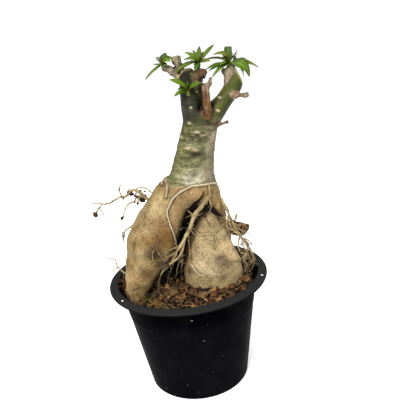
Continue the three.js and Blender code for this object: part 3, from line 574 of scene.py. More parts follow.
# %% Pot plastic
def pot_plastic():
    material, tree, shader, place, tint = finish_of("pot_plastic")
    aged = use_group(tree, DUST, tint, place, Dust=(*paint(120, 112, 98), 1), Amount=0.16)
    tree.links.new(aged["Colour"], shader.inputs["Base Color"])
    swirl, grain = noise(tree, place, 34, 3), noise(tree, place, 2400, 2)
    dusty = calc(tree, "MULTIPLY", aged["Mask"], 0.5)
    rough = calc(tree, "ADD", spread(tree, swirl, 0.3, 0.7, 0.36, 0.5), dusty, clamp=True)
    tree.links.new(rough, shader.inputs["Roughness"])
    shader.inputs["Specular IOR Level"].default_value = 0.003
    raise_surface(tree, shader, calc(tree, "ADD", grain, calc(tree, "MULTIPLY", swirl, 2.0)), 0.16, 0.0004)
    return material


POT_PLASTIC = pot_plastic()

# %% Build the pot
# Painted shade: the wall is near black just under the flange. Painted sheen: the flange is grey, lighter
# than the wall.
WALL_PAINT, UNDER_FLANGE_SHADE_PAINT = paint(11, 11, 17), paint(1, 1, 5)
FLANGE_SHEEN_PAINT, RUBBED_PAINT = paint(50, 50, 50), paint(20, 19, 23)


def pot_tints(points):
    """Deep blue-black on the wall, near black under the flange as painted shade, grey on the flange as
    painted sheen, dull brown where soil has rubbed.
    """
    radius, z = np.hypot(points[:, 0], points[:, 1]), points[:, 2]
    high, outside = smooth_step(-1.4, -0.4, z - POT_HEIGHT), smooth_step(-1.5, -0.5, radius - MOUTH_RADIUS)
    shaded = smooth_step(98, 122, z)[:, None] * 0.9
    tints = mixed(mixed(WALL_PAINT, UNDER_FLANGE_SHADE_PAINT, shaded), FLANGE_SHEEN_PAINT, (high * outside)[:, None])
    rubbed = (layered_noise(points, (40, 40, 60), 5) > 0.12) * smooth_step(110, 40, z) * 0.35
    return mixed(tints, RUBBED_PAINT, rubbed[:, None])


def build_pot():
    points, faces = turned(pot_profile(), POT_SEGMENTS)
    solid = add_piece("pot_shell", points, faces, POT_PLASTIC, pot_tints(points))
    plugs = hole_plugs()
    plug_mesh = bpy.data.meshes.new("plugs")
    plug_mesh.from_pydata((np.vstack(plugs.points) * MM).tolist(), [], plugs.faces)
    cutter = new_object("plugs", plug_mesh)
    cut = solid.modifiers.new("holes", "BOOLEAN")
    cut.operation, cut.solver, cut.object = "DIFFERENCE", "EXACT", cutter
    drilled = bpy.data.meshes.new_from_object(solid.evaluated_get(bpy.context.evaluated_depsgraph_get()))
    solid.modifiers.clear()
    solid.data = drilled
    bpy.data.objects.remove(cutter)
    bpy.data.meshes.remove(plug_mesh)
    drilled.set_sharp_from_angle(angle=math.radians(50))
    corners = np.zeros((len(drilled.vertices), 3), dtype=np.float32)
    drilled.vertices.foreach_get("co", corners.ravel())
    paint_points(drilled, pot_tints(corners / MM))  # the cut has added points with no paint
    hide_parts("pot")
    return solid


# %% Pale spots and dried splashes on the wall, and the hanger holes' inner faces painted white as painted light
# The first is a pale spot on the wall under the flange; the rest are dried splashes.
WALL_SPOTS = [  # (px, py), size in mm, colour
    ((191.8, 320), 2.0, (236, 234, 228)), ((204, 341), 1.3, (96, 94, 92)),
    ((207, 325), 1.1, (84, 80, 76)), ((167, 388), 1.1, (120, 66, 44)), ((182, 371), 1.0, (88, 84, 78)),
    ((222, 356), 1.2, (78, 76, 76)), ((152, 331), 1.0, (74, 70, 64)), ((188, 385), 0.9, (96, 90, 84)),
    ((213, 372), 0.9, (84, 80, 78)), ((238, 361), 0.9, (90, 88, 86)), ((176, 352), 0.8, (80, 76, 70)),
    ((199, 392), 0.9, (76, 72, 70)),
]
WALL_SPOT_PROFILE = [(0, -0.5), (0.7, -0.3), (1, 0), (0.7, 0.3), (0, 0.5)]
# Painted light: the inner faces of the hanger holes are bright white for the light that shows through
# them.
HOLE_LIGHT_PAINT = paint(250, 250, 250) * 2.2


WALL_STEPS = np.arange(450, 760, 0.3)[:, None]  # distances from the eye, in mm


def on_wall(px, py):
    """Where the sight line of (px, py) meets the wall of the pot."""
    points = EYE + sight_line(px, py) * WALL_STEPS
    within = np.hypot(points[:, 0], points[:, 1]) < wall_radius(points[:, 2])
    return points[np.flatnonzero(within & (points[:, 2] < SHOULDER))[0]]


def hole_lining(degrees, low=POT_HEIGHT - 1.5, high=POT_HEIGHT + 0.9, thick=0.3, gap=0.04):
    """The inner face of a hanger hole painted white as painted light, a thin ring in the height of the
    flange.
    """
    outer = HANGER_HOLES["radius"] - gap
    corners = [(outer, low), (outer, high), (outer - thick, high), (outer - thick, low)]
    points = np.vstack([level_ring(radius, z, HOLE_SEGMENTS) for radius, z in corners])
    faces = [[index % len(points) for index in face] for face in bands(len(corners) + 1, HOLE_SEGMENTS)]
    return points + hole_place(HANGER_HOLES, degrees, 0), faces


def build_wall_spots():
    heap = Heap()
    for degrees in HANGER_HOLES["angles"]:
        heap.add(*hole_lining(degrees), HOLE_LIGHT_PAINT)
    for (px, py), size, colour in WALL_SPOTS:
        points, faces = turned(WALL_SPOT_PROFILE, 12)
        upright = points[:, [0, 2, 1]] * (size * 1.2, size * 0.5, size * 0.7)
        heap.add(upright + on_wall(px, py), [face[::-1] for face in faces], paint(*colour))
    heap.piece("pot_wall_spots", POT_PLASTIC, "pot_plastic")


build_wall_spots()
pot = build_pot()
print("pot faces:", len(pot.data.polygons), "width", round(pot.dimensions.x * 1000, 1), "mm")

# %% [markdown]
# ## The shape of the wood
# The caudex, trunk and stems grew as one piece and flow into each other, so hard-edged
# parts joined by Booleans would look wrong. Metaballs could do it, but a field that is
# negative inside the wood gives more control: each lobe or stem is a chain of balls, the
# chains melt together, and the cleft and the cut ends are carved out of the same field.

# %% Chains of balls: x, y, z and radius in mm
LOBE_LEFT = [
    (12, 0, 254, 21), (-10, -3, 243, 24), (-26, -8, 215, 30.3), (-38.8, -13, 194, 31),
    (-50, -19, 174, 23.5), (-57.5, -24, 158, 18), (-63, -27, 143, 13.5), (-65, -29, 130, 9.2),
    (-63, -29, 116, 8),
]
LOBE_RIGHT = [
    (31, 8, 226, 9), (33, -10, 211, 13.5), (32, -12, 194, 22), (31, -11, 174, 30), (31.5, -9, 155, 36.2),
    (32.5, -6, 138, 37.5), (33, -5, 126, 30), (33, -4, 114, 18),
]
LOBE_SHOULDER = [
    (27, 4, 259, 19), (34, 6, 245, 18), (39, 8, 230, 14.5), (40, 18, 208, 15), (42, 28, 180, 19),
    (42, 34, 150, 19), (41, 36, 122, 12),
]
LOBE_BACK = [
    (4, 10, 248, 20), (-12, 24, 218, 24), (-18, 34, 184, 27), (-20, 40, 152, 22), (-20, 42, 122, 13),
]
LOBE_CORE = [(16, 16, 240, 18), (16, 20, 208, 19), (13, 22, 165, 20), (10, 22, 125, 13)]
CLEFT = [
    (31, -16, 249, 3), (25, -16, 236, 8), (12, -18, 222, 7), (4, -20, 206, 7), (-1, -22, 190, 7.5),
    (-9, -24, 172, 9), (-19, -26, 150, 12.5), (-21, -26, 120, 14),
]
SHOULDER_GROOVE = [(31, -24, 241, 3.6), (41, -18, 229, 4.2), (53, -7, 212, 3.8)]
TRUNK = [
    (17.8, 0, 258, 28.2), (21.2, 0, 276, 25.4), (27.5, 0, 301, 22.6), (34, 0, 322, 20.8),
    (38.5, 0, 336, 18), (38, 0, 343, 13.5),
]
LEFT_DEPTH, RIGHT_DEPTH = 1.12, 0.8  # how much each is stretched from front to back
CLEFT_DEPTH, GROOVE_DEPTH = 3.4, 2.0

STEMS = {
    "left": [
        (33, -1, 330, 14.6), (30.5, -2, 350, 13.8), (28, -3, 366, 11), (26.5, -4, 382, 8.6),
        (28.5, -5, 402, 8),
    ],
    "left_second": [(36, 1, 334, 11), (37, -1, 354, 8.6), (38, -4, 370, 6.8), (38.5, -8, 391, 6.6)],
    "right": [
        (41, 0, 326, 12), (53, 0, 342, 12.4), (65, 0, 354, 9.8), (75, 0, 366, 9.4), (88, 0, 386, 9.2),
    ],
    "right_shoulder": [(79, 0, 370, 8), (76, -1, 382, 8), (75, -1, 391, 7.2)],
}
STUBS = {
    "twig_left": [(22, 1, 384, 5.2), (14, 0, 393, 4.8), (7, 0, 397.5, 4), (1, -2, 398, 2.4)],
    "top": [(24, 2, 382, 5.4), (20.5, 3, 397, 4.4), (18.2, 4, 405, 5.2), (17.4, 4, 410, 6)],
    "centre": [(38.5, -8, 384, 6.6), (41, -11, 388.5, 6.4), (46, -14, 390, 5), (50, -14, 390, 2.2)],
    "tall": [
        (44, -9, 340, 5.6), (45.2, -14, 346, 6.6), (46, -17, 354, 5.2), (46.4, -18, 365, 4.3),
        (46.6, -19, 379, 4.9),
    ],
    "tall_tip": [(47.5, -19, 374, 2.4), (51.5, -19, 378, 2.6), (54, -18, 384.5, 1.5)],
    "right": [(73, -3, 363, 5), (79.5, -8, 361.5, 4.6), (84, -8, 360, 2.5), (94, -8, 360, 2.1)],
    "low": [(50, -3, 330, 6), (57, -3, 329.5, 4), (61, -3, 329, 2), (69, -2, 331, 2)],
}
CUTS = {  # a point of each sawn face and the direction that it faces
    "left": ((28, -5, 391.5), (-0.15, 0.6, 0.78)),
    "left_second": ((38.5, -8, 390), (0.1, -0.1, 0.99)),
    "right": ((85.8, 0, 379), (0.85, 0.3, 0.43)),
}
print("stems:", len(STEMS), "stubs:", len(STUBS))

# %% Chains made smooth
def catmull_rom(points, per_span):
    """A smooth curve through the rows of points; extra columns such as a radius follow along."""
    points = np.asarray(points, dtype=float)
    padded = np.vstack([2 * points[0] - points[1], points, 2 * points[-1] - points[-2]])
    rows = []
    for n in range(len(points) - 1):
        a, b, c, d = padded[n:n + 4]
        for t in np.arange(per_span) / per_span:
            rows.append(0.5 * (2 * b + (c - a) * t + (2 * a - 5 * b + 4 * c - d) * t * t
                               + (3 * b - a - 3 * c + d) * t ** 3))
    return np.array([*rows, points[-1]])


STEM_CHAINS = {name: catmull_rom(balls, 3) for name, balls in STEMS.items()}
STUB_CHAINS = {name: catmull_rom(balls, 3) for name, balls in STUBS.items()}


def end_face(chain):
    """The flat end of a chain: its last middle point and the way it points."""
    return chain[-1][:3], unit(chain[-1][:3] - chain[-2][:3])


# %% Field helpers
FAR = 18.0  # distances are only worked out this close to a chain


def limb(balls, x, y, z, depth=1.0):
    """Distance in mm to a chain of balls with cones between them, negative inside."""
    least = np.inf
    for (ax, ay, az, ar), (bx, by, bz, br) in zip(balls, balls[1:]):
        dx, dy, dz = bx - ax, (by - ay) / depth, bz - az
        px, py, pz = x - ax, (y - ay) / depth, z - az
        t = np.clip((px * dx + py * dy + pz * dz) / (dx * dx + dy * dy + dz * dz), 0, 1)
        away = np.sqrt((px - t * dx) ** 2 + (py - t * dy) ** 2 + (pz - t * dz) ** 2)
        least = np.minimum(least, away - (ar + t * (br - ar)))
    return least


def limb_on_grid(axes, balls, depth=1.0):
    """The same on a grid, worked out only in the box round each cone."""
    field = np.full([len(axis) for axis in axes], FAR)
    for first, second in zip(balls, balls[1:]):
        spans = []
        for k, axis in enumerate(axes):
            wide = FAR + max(first[3], second[3]) * (depth if k == 1 else 1)
            low, high = min(first[k], second[k]) - wide, max(first[k], second[k]) + wide
            spans.append(slice(*np.searchsorted(axis, (low, high))))
        if all(span.stop > span.start for span in spans):
            x, y, z = np.ix_(*(axis[span] for axis, span in zip(axes, spans)))
            block = field[tuple(spans)]
            np.minimum(block, limb([first, second], x, y, z, depth), out=block)
    return field


def melt(a, b, blend):
    """The lower of two fields, with the step between them rounded off."""
    h = np.maximum(blend - np.abs(a - b), 0) / blend
    return np.minimum(a, b) - h * h * blend / 4


def carve(a, b, blend):
    return -melt(-a, -b, blend)


def beyond(axes, point, normal):
    """Height above a plane, on a grid."""
    (x, y, z), (nx, ny, nz) = np.ix_(*axes), unit(normal)
    return (x - point[0]) * nx + (y - point[1]) * ny + (z - point[2]) * nz


# %% The field of the whole plant
def wood_field(axes):
    lobes = melt(limb_on_grid(axes, LOBE_LEFT, LEFT_DEPTH), limb_on_grid(axes, LOBE_BACK), 12)
    lobes = melt(lobes, limb_on_grid(axes, LOBE_CORE), 9)
    lobes = melt(lobes, limb_on_grid(axes, LOBE_SHOULDER), 9)
    lobes = melt(lobes, limb_on_grid(axes, LOBE_RIGHT, RIGHT_DEPTH), 4)
    hollow = np.minimum(limb_on_grid(axes, CLEFT, CLEFT_DEPTH),
                        limb_on_grid(axes, SHOULDER_GROOVE, GROOVE_DEPTH))
    wood = melt(carve(lobes, -hollow, 4), limb_on_grid(axes, TRUNK), 6)
    for name, chain in STEM_CHAINS.items():
        stem = limb_on_grid(axes, chain)
        point, normal = CUTS.get(name) or end_face(chain)
        wood = melt(wood, carve(stem, beyond(axes, point, normal), 1.2), 5)
    for name, chain in STUB_CHAINS.items():
        stub = limb_on_grid(axes, chain)
        wood = melt(wood, carve(stub, beyond(axes, *end_face(chain)), 1), 1.6)
    return wood


CROWN = 322.0  # the grid is finer above this height


def make_axes(cell_low, cell_high, across):
    """Grid lines round the woody plant, closer together in the crown than in the caudex."""
    low, high = (np.array(corner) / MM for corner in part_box("caudex_and_stems"))
    up = np.concatenate([np.arange(low[2] - 14, CROWN, cell_low),
                         np.arange(CROWN + 0.3, high[2] + 5, cell_high)])
    return np.arange(low[0] - 4, high[0] + 5, across), np.arange(low[1] - 4, high[1] + 5, across), up


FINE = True
AXES = make_axes(1.5, 1.0, 1.35) if FINE else make_axes(3, 2, 2.6)
WOOD_VALUES = wood_field(AXES)
print("grid:", WOOD_VALUES.shape, "share inside:", round(float((WOOD_VALUES < 0).mean()), 3))

# %% Reading the field anywhere
def depth_at(points):
    """The field at any points, read from the grid."""
    points = np.asarray(points, dtype=float)
    total = np.zeros(len(points))
    index, part = [], []
    for k, axis in enumerate(AXES):
        low = np.clip(np.searchsorted(axis, points[:, k]) - 1, 0, len(axis) - 2)
        index.append(low)
        part.append(np.clip((points[:, k] - axis[low]) / (axis[low + 1] - axis[low]), 0, 1))
    for corner in CORNERS:
        total += corner_weight(part, corner) * WOOD_VALUES[tuple(low + c for low, c in zip(index, corner))]
    return total


SIGHT_STEPS = np.arange(480, 760, 0.4)[:, None]  # distances from the eye, in mm


def on_wood(px, py):
    """Where the sight line of (px, py) meets the wood, or passes nearest to it."""
    points = EYE + sight_line(px, py) * SIGHT_STEPS
    depths = depth_at(points)
    inside = np.flatnonzero(depths < 0)
    return points[inside[0] if len(inside) else np.argmin(depths)]


def toward_surface(points, probe=0.8):
    """Moves points along the field's slope until they lie on the wood."""
    points = np.array(points, dtype=float)
    for _ in range(4):
        slope = np.stack([(depth_at(points + step) - depth_at(points - step)) / (2 * probe)
                          for step in np.eye(3) * probe], 1)
        slope /= np.maximum(np.linalg.norm(slope, axis=1, keepdims=True), 1e-6)
        points -= slope * depth_at(points)[:, None]
    return points, slope


print("the sight line (200, 150) meets the trunk at", on_wood(200, 150).round(1))

# %% Surface of the field
def surface_of(values, axes):
    """One point in each grid cell that the surface crosses, and a quad round each crossed edge."""
    inside = values < 0
    crossings, cells = [], []
    for k in range(3):
        low, high = [slice(None)] * 3, [slice(None)] * 3
        low[k], high[k] = slice(0, -1), slice(1, None)
        low, high = tuple(low), tuple(high)
        crossed = inside[low] != inside[high]
        index = np.argwhere(crossed)
        a, b = values[low][crossed], values[high][crossed]
        place = np.stack([axes[n][index[:, n]] for n in range(3)], 1)
        place[:, k] += a / (a - b) * (axes[k][index[:, k] + 1] - axes[k][index[:, k]])
        u, v = (k + 1) % 3, (k + 2) % 3
        ring = []
        for du, dv in ((1, 1), (0, 1), (0, 0), (1, 0)):
            cell = index.copy()
            cell[:, u] -= du
            cell[:, v] -= dv
            ring.append(np.ravel_multi_index(cell.T, values.shape))
        ring = np.stack(ring, 1)
        outward = inside[low][crossed]
        ring[~outward] = ring[~outward][:, ::-1]
        crossings.append(place)
        cells.append(ring)
    cells = np.vstack(cells)
    places = np.repeat(np.vstack(crossings), 4, axis=0)
    _, vertex = np.unique(cells.ravel(), return_inverse=True)
    count = np.bincount(vertex)
    points = np.stack([np.bincount(vertex, places[:, n]) / count for n in range(3)], 1)
    return points, vertex.reshape(cells.shape)


def point_normals(points, quads):
    a, b, c, d = (points[quads[:, n]] for n in range(4))
    face = np.cross(c - a, d - b)
    total = np.zeros_like(points)
    for n in range(4):
        for k in range(3):
            total[:, k] += np.bincount(quads[:, n], face[:, k], len(points))
    return total / np.maximum(np.linalg.norm(total, axis=1, keepdims=True), 1e-9)


wood_points, wood_quads = surface_of(WOOD_VALUES, AXES)
wood_normals = point_normals(wood_points, wood_quads)
print("wood:", len(wood_points), "points,", len(wood_quads), "quads")

# %% [markdown]
# ## Skin, scars and colour of the wood
# The swollen base is tan and finely speckled where soil has been washed off, the trunk is
# grey-green above a pale line where the old skin ends, and the stems turn to dark olive.
# Image textures could show this, but painting values on the points by rule gives colour
# that goes all round, and the same rules can also raise the scars and sink the cracks.
# Shade and light are painted into this colour too: in hollows, creases and the cleft, and on lit lobes.

# %% Where points show in the picture
def picture_place(points):
    """The (px, py) at which each point shows; the reverse of a sight line."""
    offset = points - EYE
    along = offset @ FORWARD
    u, v = offset @ RIGHTWARD / along, -(offset @ UPWARD) / along
    px = (u * math.cos(ROLL) + v * math.sin(ROLL)) * FOCAL + PICTURE / 2
    py = (-u * math.sin(ROLL) + v * math.cos(ROLL)) * FOCAL + PICTURE / 2
    return px, py


WOOD_PX, WOOD_PY = picture_place(wood_points)
to_eye = EYE - wood_points
facing = np.einsum("ij,ij->i", to_eye / np.linalg.norm(to_eye, axis=1, keepdims=True), wood_normals)
FRONT = smooth_step(-0.05, 0.15, facing)


def mark(px, py, wide, tall, lean=0.0):
    """A soft oval patch, `wide` by `tall` mm, on the front of the wood where (px, py) shows."""
    spot = on_wood(px, py)
    offset = wood_points - spot
    turn = math.radians(lean)
    along = offset[:, 0] * math.cos(turn) + offset[:, 2] * math.sin(turn)
    upward = offset[:, 2] * math.cos(turn) - offset[:, 0] * math.sin(turn)
    return np.exp(-(2 * along / wide) ** 2 - (2 * upward / tall) ** 2 - (offset[:, 1] / 9) ** 2)


def crack(places, wide):
    """A line on the front of the wood through (px, py) places, `wide` mm across."""
    chain = [(*on_wood(px, py), 0.0) for px, py in places]
    away = limb(chain, *wood_points.T)
    return np.exp(-(2 * away / wide) ** 2)


def inside_outline(outline, soft):
    """1 where points show inside an outline of (px, py) places, fading over `soft` at its edge."""
    outline = np.array(outline, dtype=float)
    nearest = np.full(len(WOOD_PX), np.inf)
    within = np.zeros(len(WOOD_PX), dtype=bool)
    for (ax, ay), (bx, by) in zip(outline, np.roll(outline, -1, axis=0)):
        dx, dy = bx - ax, by - ay
        t = np.clip(((WOOD_PX - ax) * dx + (WOOD_PY - ay) * dy) / (dx * dx + dy * dy), 0, 1)
        nearest = np.minimum(nearest, np.hypot(WOOD_PX - ax - t * dx, WOOD_PY - ay - t * dy))
        if ay != by:
            spans = (ay > WOOD_PY) != (by > WOOD_PY)
            within ^= spans & (WOOD_PX < dx * (WOOD_PY - ay) / dy + ax)
    signed = np.where(within, nearest, -nearest)
    return smooth_step(-soft / 2, soft / 2, signed) * FRONT


# %% Which part of the plant a point belongs to
def nearness(points):
    """Signed distances of points to each lobe, the trunk, the stems and the stubs."""
    x, y, z = points.T
    found = {"lobe_left": limb(LOBE_LEFT, x, y, z, LEFT_DEPTH),
             "lobe_right": limb(LOBE_RIGHT, x, y, z, RIGHT_DEPTH),
             "shoulder": limb(LOBE_SHOULDER, x, y, z), "lobe_back": limb(LOBE_BACK, x, y, z),
             "trunk": limb(TRUNK, x, y, z)}
    found.update({"stem_" + name: limb(chain, x, y, z) for name, chain in STEM_CHAINS.items()})
    found.update({"stub_" + name: limb(chain, x, y, z) for name, chain in STUB_CHAINS.items()})
    return found


NEAR = nearness(wood_points)


def share(name, blend=3.0):
    """1 where the named limb is the nearest, fading over `blend` mm."""
    others = np.min([field for key, field in NEAR.items() if key != name], axis=0)
    return smooth_step(-blend / 2, blend / 2, others - NEAR[name])


print("points on the right lobe:", int((share("lobe_right") > 0.5).sum()))

# %% Where the old skin ends
def skin_noise(size, seed):
    return lattice_noise(wood_points, size, seed)


SKIN_EDGE = 261.0
edge_wave = 1.6 * skin_noise((14, 14, 60), 21) + 0.7 * skin_noise((5, 5, 30), 22)
SKIN_LINE = [  # where the edge shows on the front
    (160, 173), (167.6, 174.5), (168.5, 186.2), (176, 187), (184, 186.2), (192, 185), (204, 184.6),
    (216, 183.2), (226, 183),
]
line_height = np.interp(WOOD_PX, *np.transpose(SKIN_LINE)) - WOOD_PY
above_edge = FRONT * 1.2 * line_height + (1 - FRONT) * (wood_points[:, 2] - SKIN_EDGE)
above_edge -= edge_wave * (1 - 0.7 * FRONT)
OLD_SKIN = smooth_step(-0.4, 0.6, above_edge)
on_stems = smooth_step(326, 342, wood_points[:, 2] + 5 * skin_noise(11, 23))
print("points above the edge:", int((OLD_SKIN > 0.5).sum()))

# %% Named places on the front, as they show in the picture
CHEEK = [
    (204, 187), (193.3, 187.5), (185.3, 191.3), (177.6, 196.6), (173, 201.5), (169.6, 208), (168, 214),
    (170, 224), (174.5, 235), (176.5, 243), (180, 236), (185, 224), (191, 211), (198, 200), (203, 192),
]
BIG_SCARS = [
    (193.8, 149.8, 8, 3, -10), (188.4, 148.2, 7, 1.8, 6), (196.8, 132.2, 7, 2.4, -8),
    (204.4, 135, 6.5, 2, 4), (181, 136.6, 3.4, 3.8, 70), (189.6, 123.2, 3.2, 2.6, 0),
    (190.9, 107.6, 2.4, 2, 0), (219.8, 97.6, 3, 2, -20), (217.8, 110.5, 3.6, 2.2, -30),
    (197.4, 91.3, 2.6, 2, 0),
]
TRUNK_CREASES = [
    [(184, 142), (192, 143.5), (201, 142)], [(176, 153), (186, 153.4), (196, 154.2), (205, 153)],
    [(174, 163), (186, 165), (198, 166), (211, 164)], [(172.5, 171), (183, 174), (196, 175)],
    [(180, 139), (187, 140.4), (194, 139.6)], [(186, 129), (193, 130.4), (199, 129.8)],
    [(177, 158.5), (189, 160), (204, 159.6)], [(171, 177), (181, 180), (190, 180)],
]
SLITS = [
    ([(134.8, 242.6), (134.4, 245), (134.2, 248.5)], 1.9),
    ([(132.6, 291.3), (136.4, 290), (139.4, 288.2)], 1.8),
    ([(205.6, 219), (207.4, 221.4), (209.4, 224.6)], 1.7),
    ([(201.5, 204.6), (204, 205)], 1.6),
    ([(136.8, 293), (137.6, 296)], 1.3),
    ([(155.8, 233.5), (157, 238.5)], 1.3),
]
# Pits painted near black as painted shade.
DARK_SPOTS = [
    (162.4, 182.6, 1.8, 5), (166.3, 197.4, 4, 2.6), (200.4, 108, 5.4, 4.6), (205.2, 216, 3.4, 2.4),
]
# Stains and patches of skin colour, with painted light among them: the small pale spot at (212.4, 273.6)
# is a painted highlight,
# and the brown patches at (149, 272) and (160, 274) are painted shadow under the piece of bark.
STAINS_SHADOWS_AND_HIGHLIGHT = [
    ((146.6, 243.6), 5, 1.6, (150, 78, 26)), ((153.8, 243.4), 3, 1.8, (140, 76, 30)),
    ((157, 253), 12, 20, (96, 64, 30)), ((160, 227), 22, 36, (124, 92, 50)),
    ((166, 240), 20, 26, (140, 100, 50)), ((160, 274), 12, 30, (132, 96, 50)),
    ((226, 262.6), 15, 11, (120, 96, 76)), ((219, 258.5), 11, 8, (134, 108, 84)),
    ((149, 272), 12, 12, (150, 114, 64)), ((190.5, 270), 8, 8, (112, 98, 68)),
    ((212.4, 273.6), 4.4, 3, (226, 214, 190)), ((176, 175.5), 9, 12, (120, 124, 70)),
    ((188, 168.5), 14, 5, (122, 128, 78)), ((180, 150), 8, 10, (118, 122, 74)),
]
print("scars:", len(BIG_SCARS), "creases:", len(TRUNK_CREASES), "slits:", len(SLITS))

# %% Painted shade in the depths of the cleft
# Near-black painted shade, partly soil, goes on wood seen deep in the cleft and in the slot under the
# shoulder.
CLEFT_OPENING = [
    (204, 193), (210, 197), (207, 206), (196, 226), (190, 240), (186, 250), (186, 282), (160, 282),
    (166, 262), (172, 250), (181, 234), (190, 214), (196, 203),
]
CLEFT_SLOT = [
    (203.9, 191.4), (205, 194.5), (203.6, 198.6), (200.6, 202.6), (197.4, 207.6), (195, 212), (191, 219),
    (187, 226.5), (184, 233), (180.5, 240), (178.6, 244), (176, 245), (176.4, 240.5), (179, 233.6),
    (182.6, 225), (185.2, 219), (190, 211.8), (194, 205), (199.2, 200), (202.6, 196),
]
UNDER_SHOULDER = [
    (206.4, 200.4), (210.4, 202.8), (214, 207.4), (218.6, 212.2), (223.8, 216.8), (223.6, 219.8),
    (218, 216.6), (213.6, 213.2), (210, 210.6), (205.4, 211), (201.4, 215), (199.6, 211), (204, 205),
]
SLOTS = np.maximum(inside_outline(CLEFT_SLOT, 1.4), inside_outline(UNDER_SHOULDER, 1.4))
BEHIND_CLEFT = np.maximum(inside_outline(CLEFT_OPENING, 3) * smooth_step(-24, -12, wood_points[:, 1]),
                          SLOTS)
print("points deep in the cleft:", int((BEHIND_CLEFT > 0.5).sum()))

# %% Thin roots that have grown fast to the wood
LAID_ROOTS = {  # (px, py) places along each, then its two radii and how pale it is
    "peel_line": ([
        (215.6, 183.4), (211, 183.2), (206, 184.3), (200, 184.9), (193.4, 185.6), (189, 187),
        (185.3, 189.2), (181, 191.6), (177.4, 194.4), (174.4, 197), (172.2, 199.8), (170, 204),
        (168.6, 207.5), (166.8, 213.2), (168, 219), (169.3, 224.4), (171.6, 230), (173.8, 235.8),
        (175, 240.5), (176, 246)], 1.45, 0.6, 1.75),
    "across_right_lobe": ([
        (176.6, 228.6), (182, 228.6), (188, 228.4), (194.4, 229.2), (197, 232), (199, 234.2),
        (204, 234.4), (210.4, 233.6), (213.4, 234), (217.4, 231.4), (221.8, 226.8),
        (223.8, 220)], 1.0, 0.8, 1.0),
    "drop": ([(214.8, 233), (215.4, 238), (216.2, 243), (214.8, 249)], 1.0, 0.7, 0.9),
    "reddish": ([(188.6, 236), (190, 244), (190.4, 252), (191, 259), (192, 264)], 1.3, 1.1, -0.8),
    "reddish_end": ([(192, 264), (194.6, 268), (198, 272), (201, 274.6), (205.5, 275.4)], 1.1, 0.8, 1.5),
    "over_right_foot": ([(243, 259.6), (238, 261.4), (231.4, 261.8)], 0.9, 0.6, 1.0),
    "right_edge": ([(222.6, 201), (226, 208), (229.4, 215)], 1.0, 1.3, 0.8),
    "shoulder_drop": ([
        (208.4, 184.6), (209, 190), (209.8, 196), (211.6, 202), (214.4, 207)], 1.0, 0.7, 0.9),
    "inner_left": ([(172.4, 233.4), (176, 239), (176.6, 244)], 0.8, 0.6, 0.9),
    "left_loop": ([
        (162, 184.6), (163, 182.4), (165.2, 181.4), (167.2, 183.6), (168, 187.4), (167.6, 192),
        (166, 198)], 1.45, 1.0, 1.3),
    "across_wound": ([(154, 250.4), (152.6, 255), (153.2, 260), (156.6, 264.6)], 0.55, 0.35, 1.0),
    "over_wound": ([(156.1, 248.9), (159, 253.4), (162.5, 258.4), (167, 262)], 0.6, 0.4, 1.0),
}


def shadow_under_laid_roots():
    """The lines of painted shadow where these roots meet the skin."""
    total = np.zeros(len(wood_points))
    for places, thick, thin, _ in LAID_ROOTS.values():
        total = np.maximum(total, crack(places, 2.2 * (thick + thin)))
    return total


SHADOW_UNDER_ROOTS = shadow_under_laid_roots()
print("laid roots:", len(LAID_ROOTS))

# %% Relief: what stands out of the wood or is sunk into it, in mm
SCARS = np.clip(1.5 * np.sum([mark(*scar) for scar in BIG_SCARS], axis=0), 0, 1)
# Under each scar: a sunk band, and painted shadow below it.
UNDER_SCARS = np.clip(sum(mark(px, py + 2.4, wide * 1.25, tall * 1.5, lean)
                          for px, py, wide, tall, lean in BIG_SCARS), 0, 1)
CREASES = np.clip(sum(crack(line, 2.4) for line in TRUNK_CREASES), 0, 1)
CRACKS = np.clip(sum(crack(line, wide) for line, wide in SLITS), 0, 1)
HOLES = np.clip(sum(mark(*spot) for spot in DARK_SPOTS), 0, 1)
WOUND = mark(157, 256.5, 17, 21, 30)
IN_CHEEK = inside_outline(CHEEK, 1.6)
SIDE_RIDGE = crack([(163.6, 179.4), (166.8, 179.2), (168.2, 184), (167.9, 190), (166.6, 195.5)], 4.2)
HIGH_GROUND = crack([(160.5, 184), (163.5, 179.6), (167, 177.5)], 6)


def back_scars(seed=17, count=34):
    """Old leaf and branch scars all round the trunk and stems, as small raised ovals."""
    rng = np.random.default_rng(seed)
    high = np.flatnonzero((wood_points[:, 2] > 268) & (facing < 0.25))
    total = np.zeros(len(wood_points))
    for spot in wood_points[rng.choice(high, count, replace=False)]:
        offset = wood_points - spot
        wide, tall = rng.uniform(2.5, 7), rng.uniform(1.6, 2.8)
        level = np.hypot(offset[:, 0], offset[:, 1])
        total += np.exp(-(2 * level / wide) ** 2 - (2 * offset[:, 2] / tall) ** 2)
    return np.clip(total, 0, 1)


BACK_SCARS = back_scars()
to_stubs = np.min([away for name, away in NEAR.items() if name.startswith("stub")], axis=0)
to_others = np.min([away for name, away in NEAR.items() if not name.startswith("stub")], axis=0)
on_stubs = smooth_step(-0.5, 1.0, to_others - to_stubs)
COLLAR = [
    (205.6, 118), (212, 118), (218.6, 120.6), (220.4, 125.6), (215, 130.6), (209, 131.6), (205.4, 127),
]
GREY_SHOULDER = [
    (222, 67), (230, 64), (237, 67), (233.6, 74), (228, 80), (226, 86), (222.6, 82), (221, 74),
]
KNOB = smooth_step(0, 1.5, NEAR["stem_right"] - NEAR["stem_right_shoulder"]) * (1 - FRONT)
KNOB = np.maximum(KNOB, inside_outline(GREY_SHOULDER, 2))


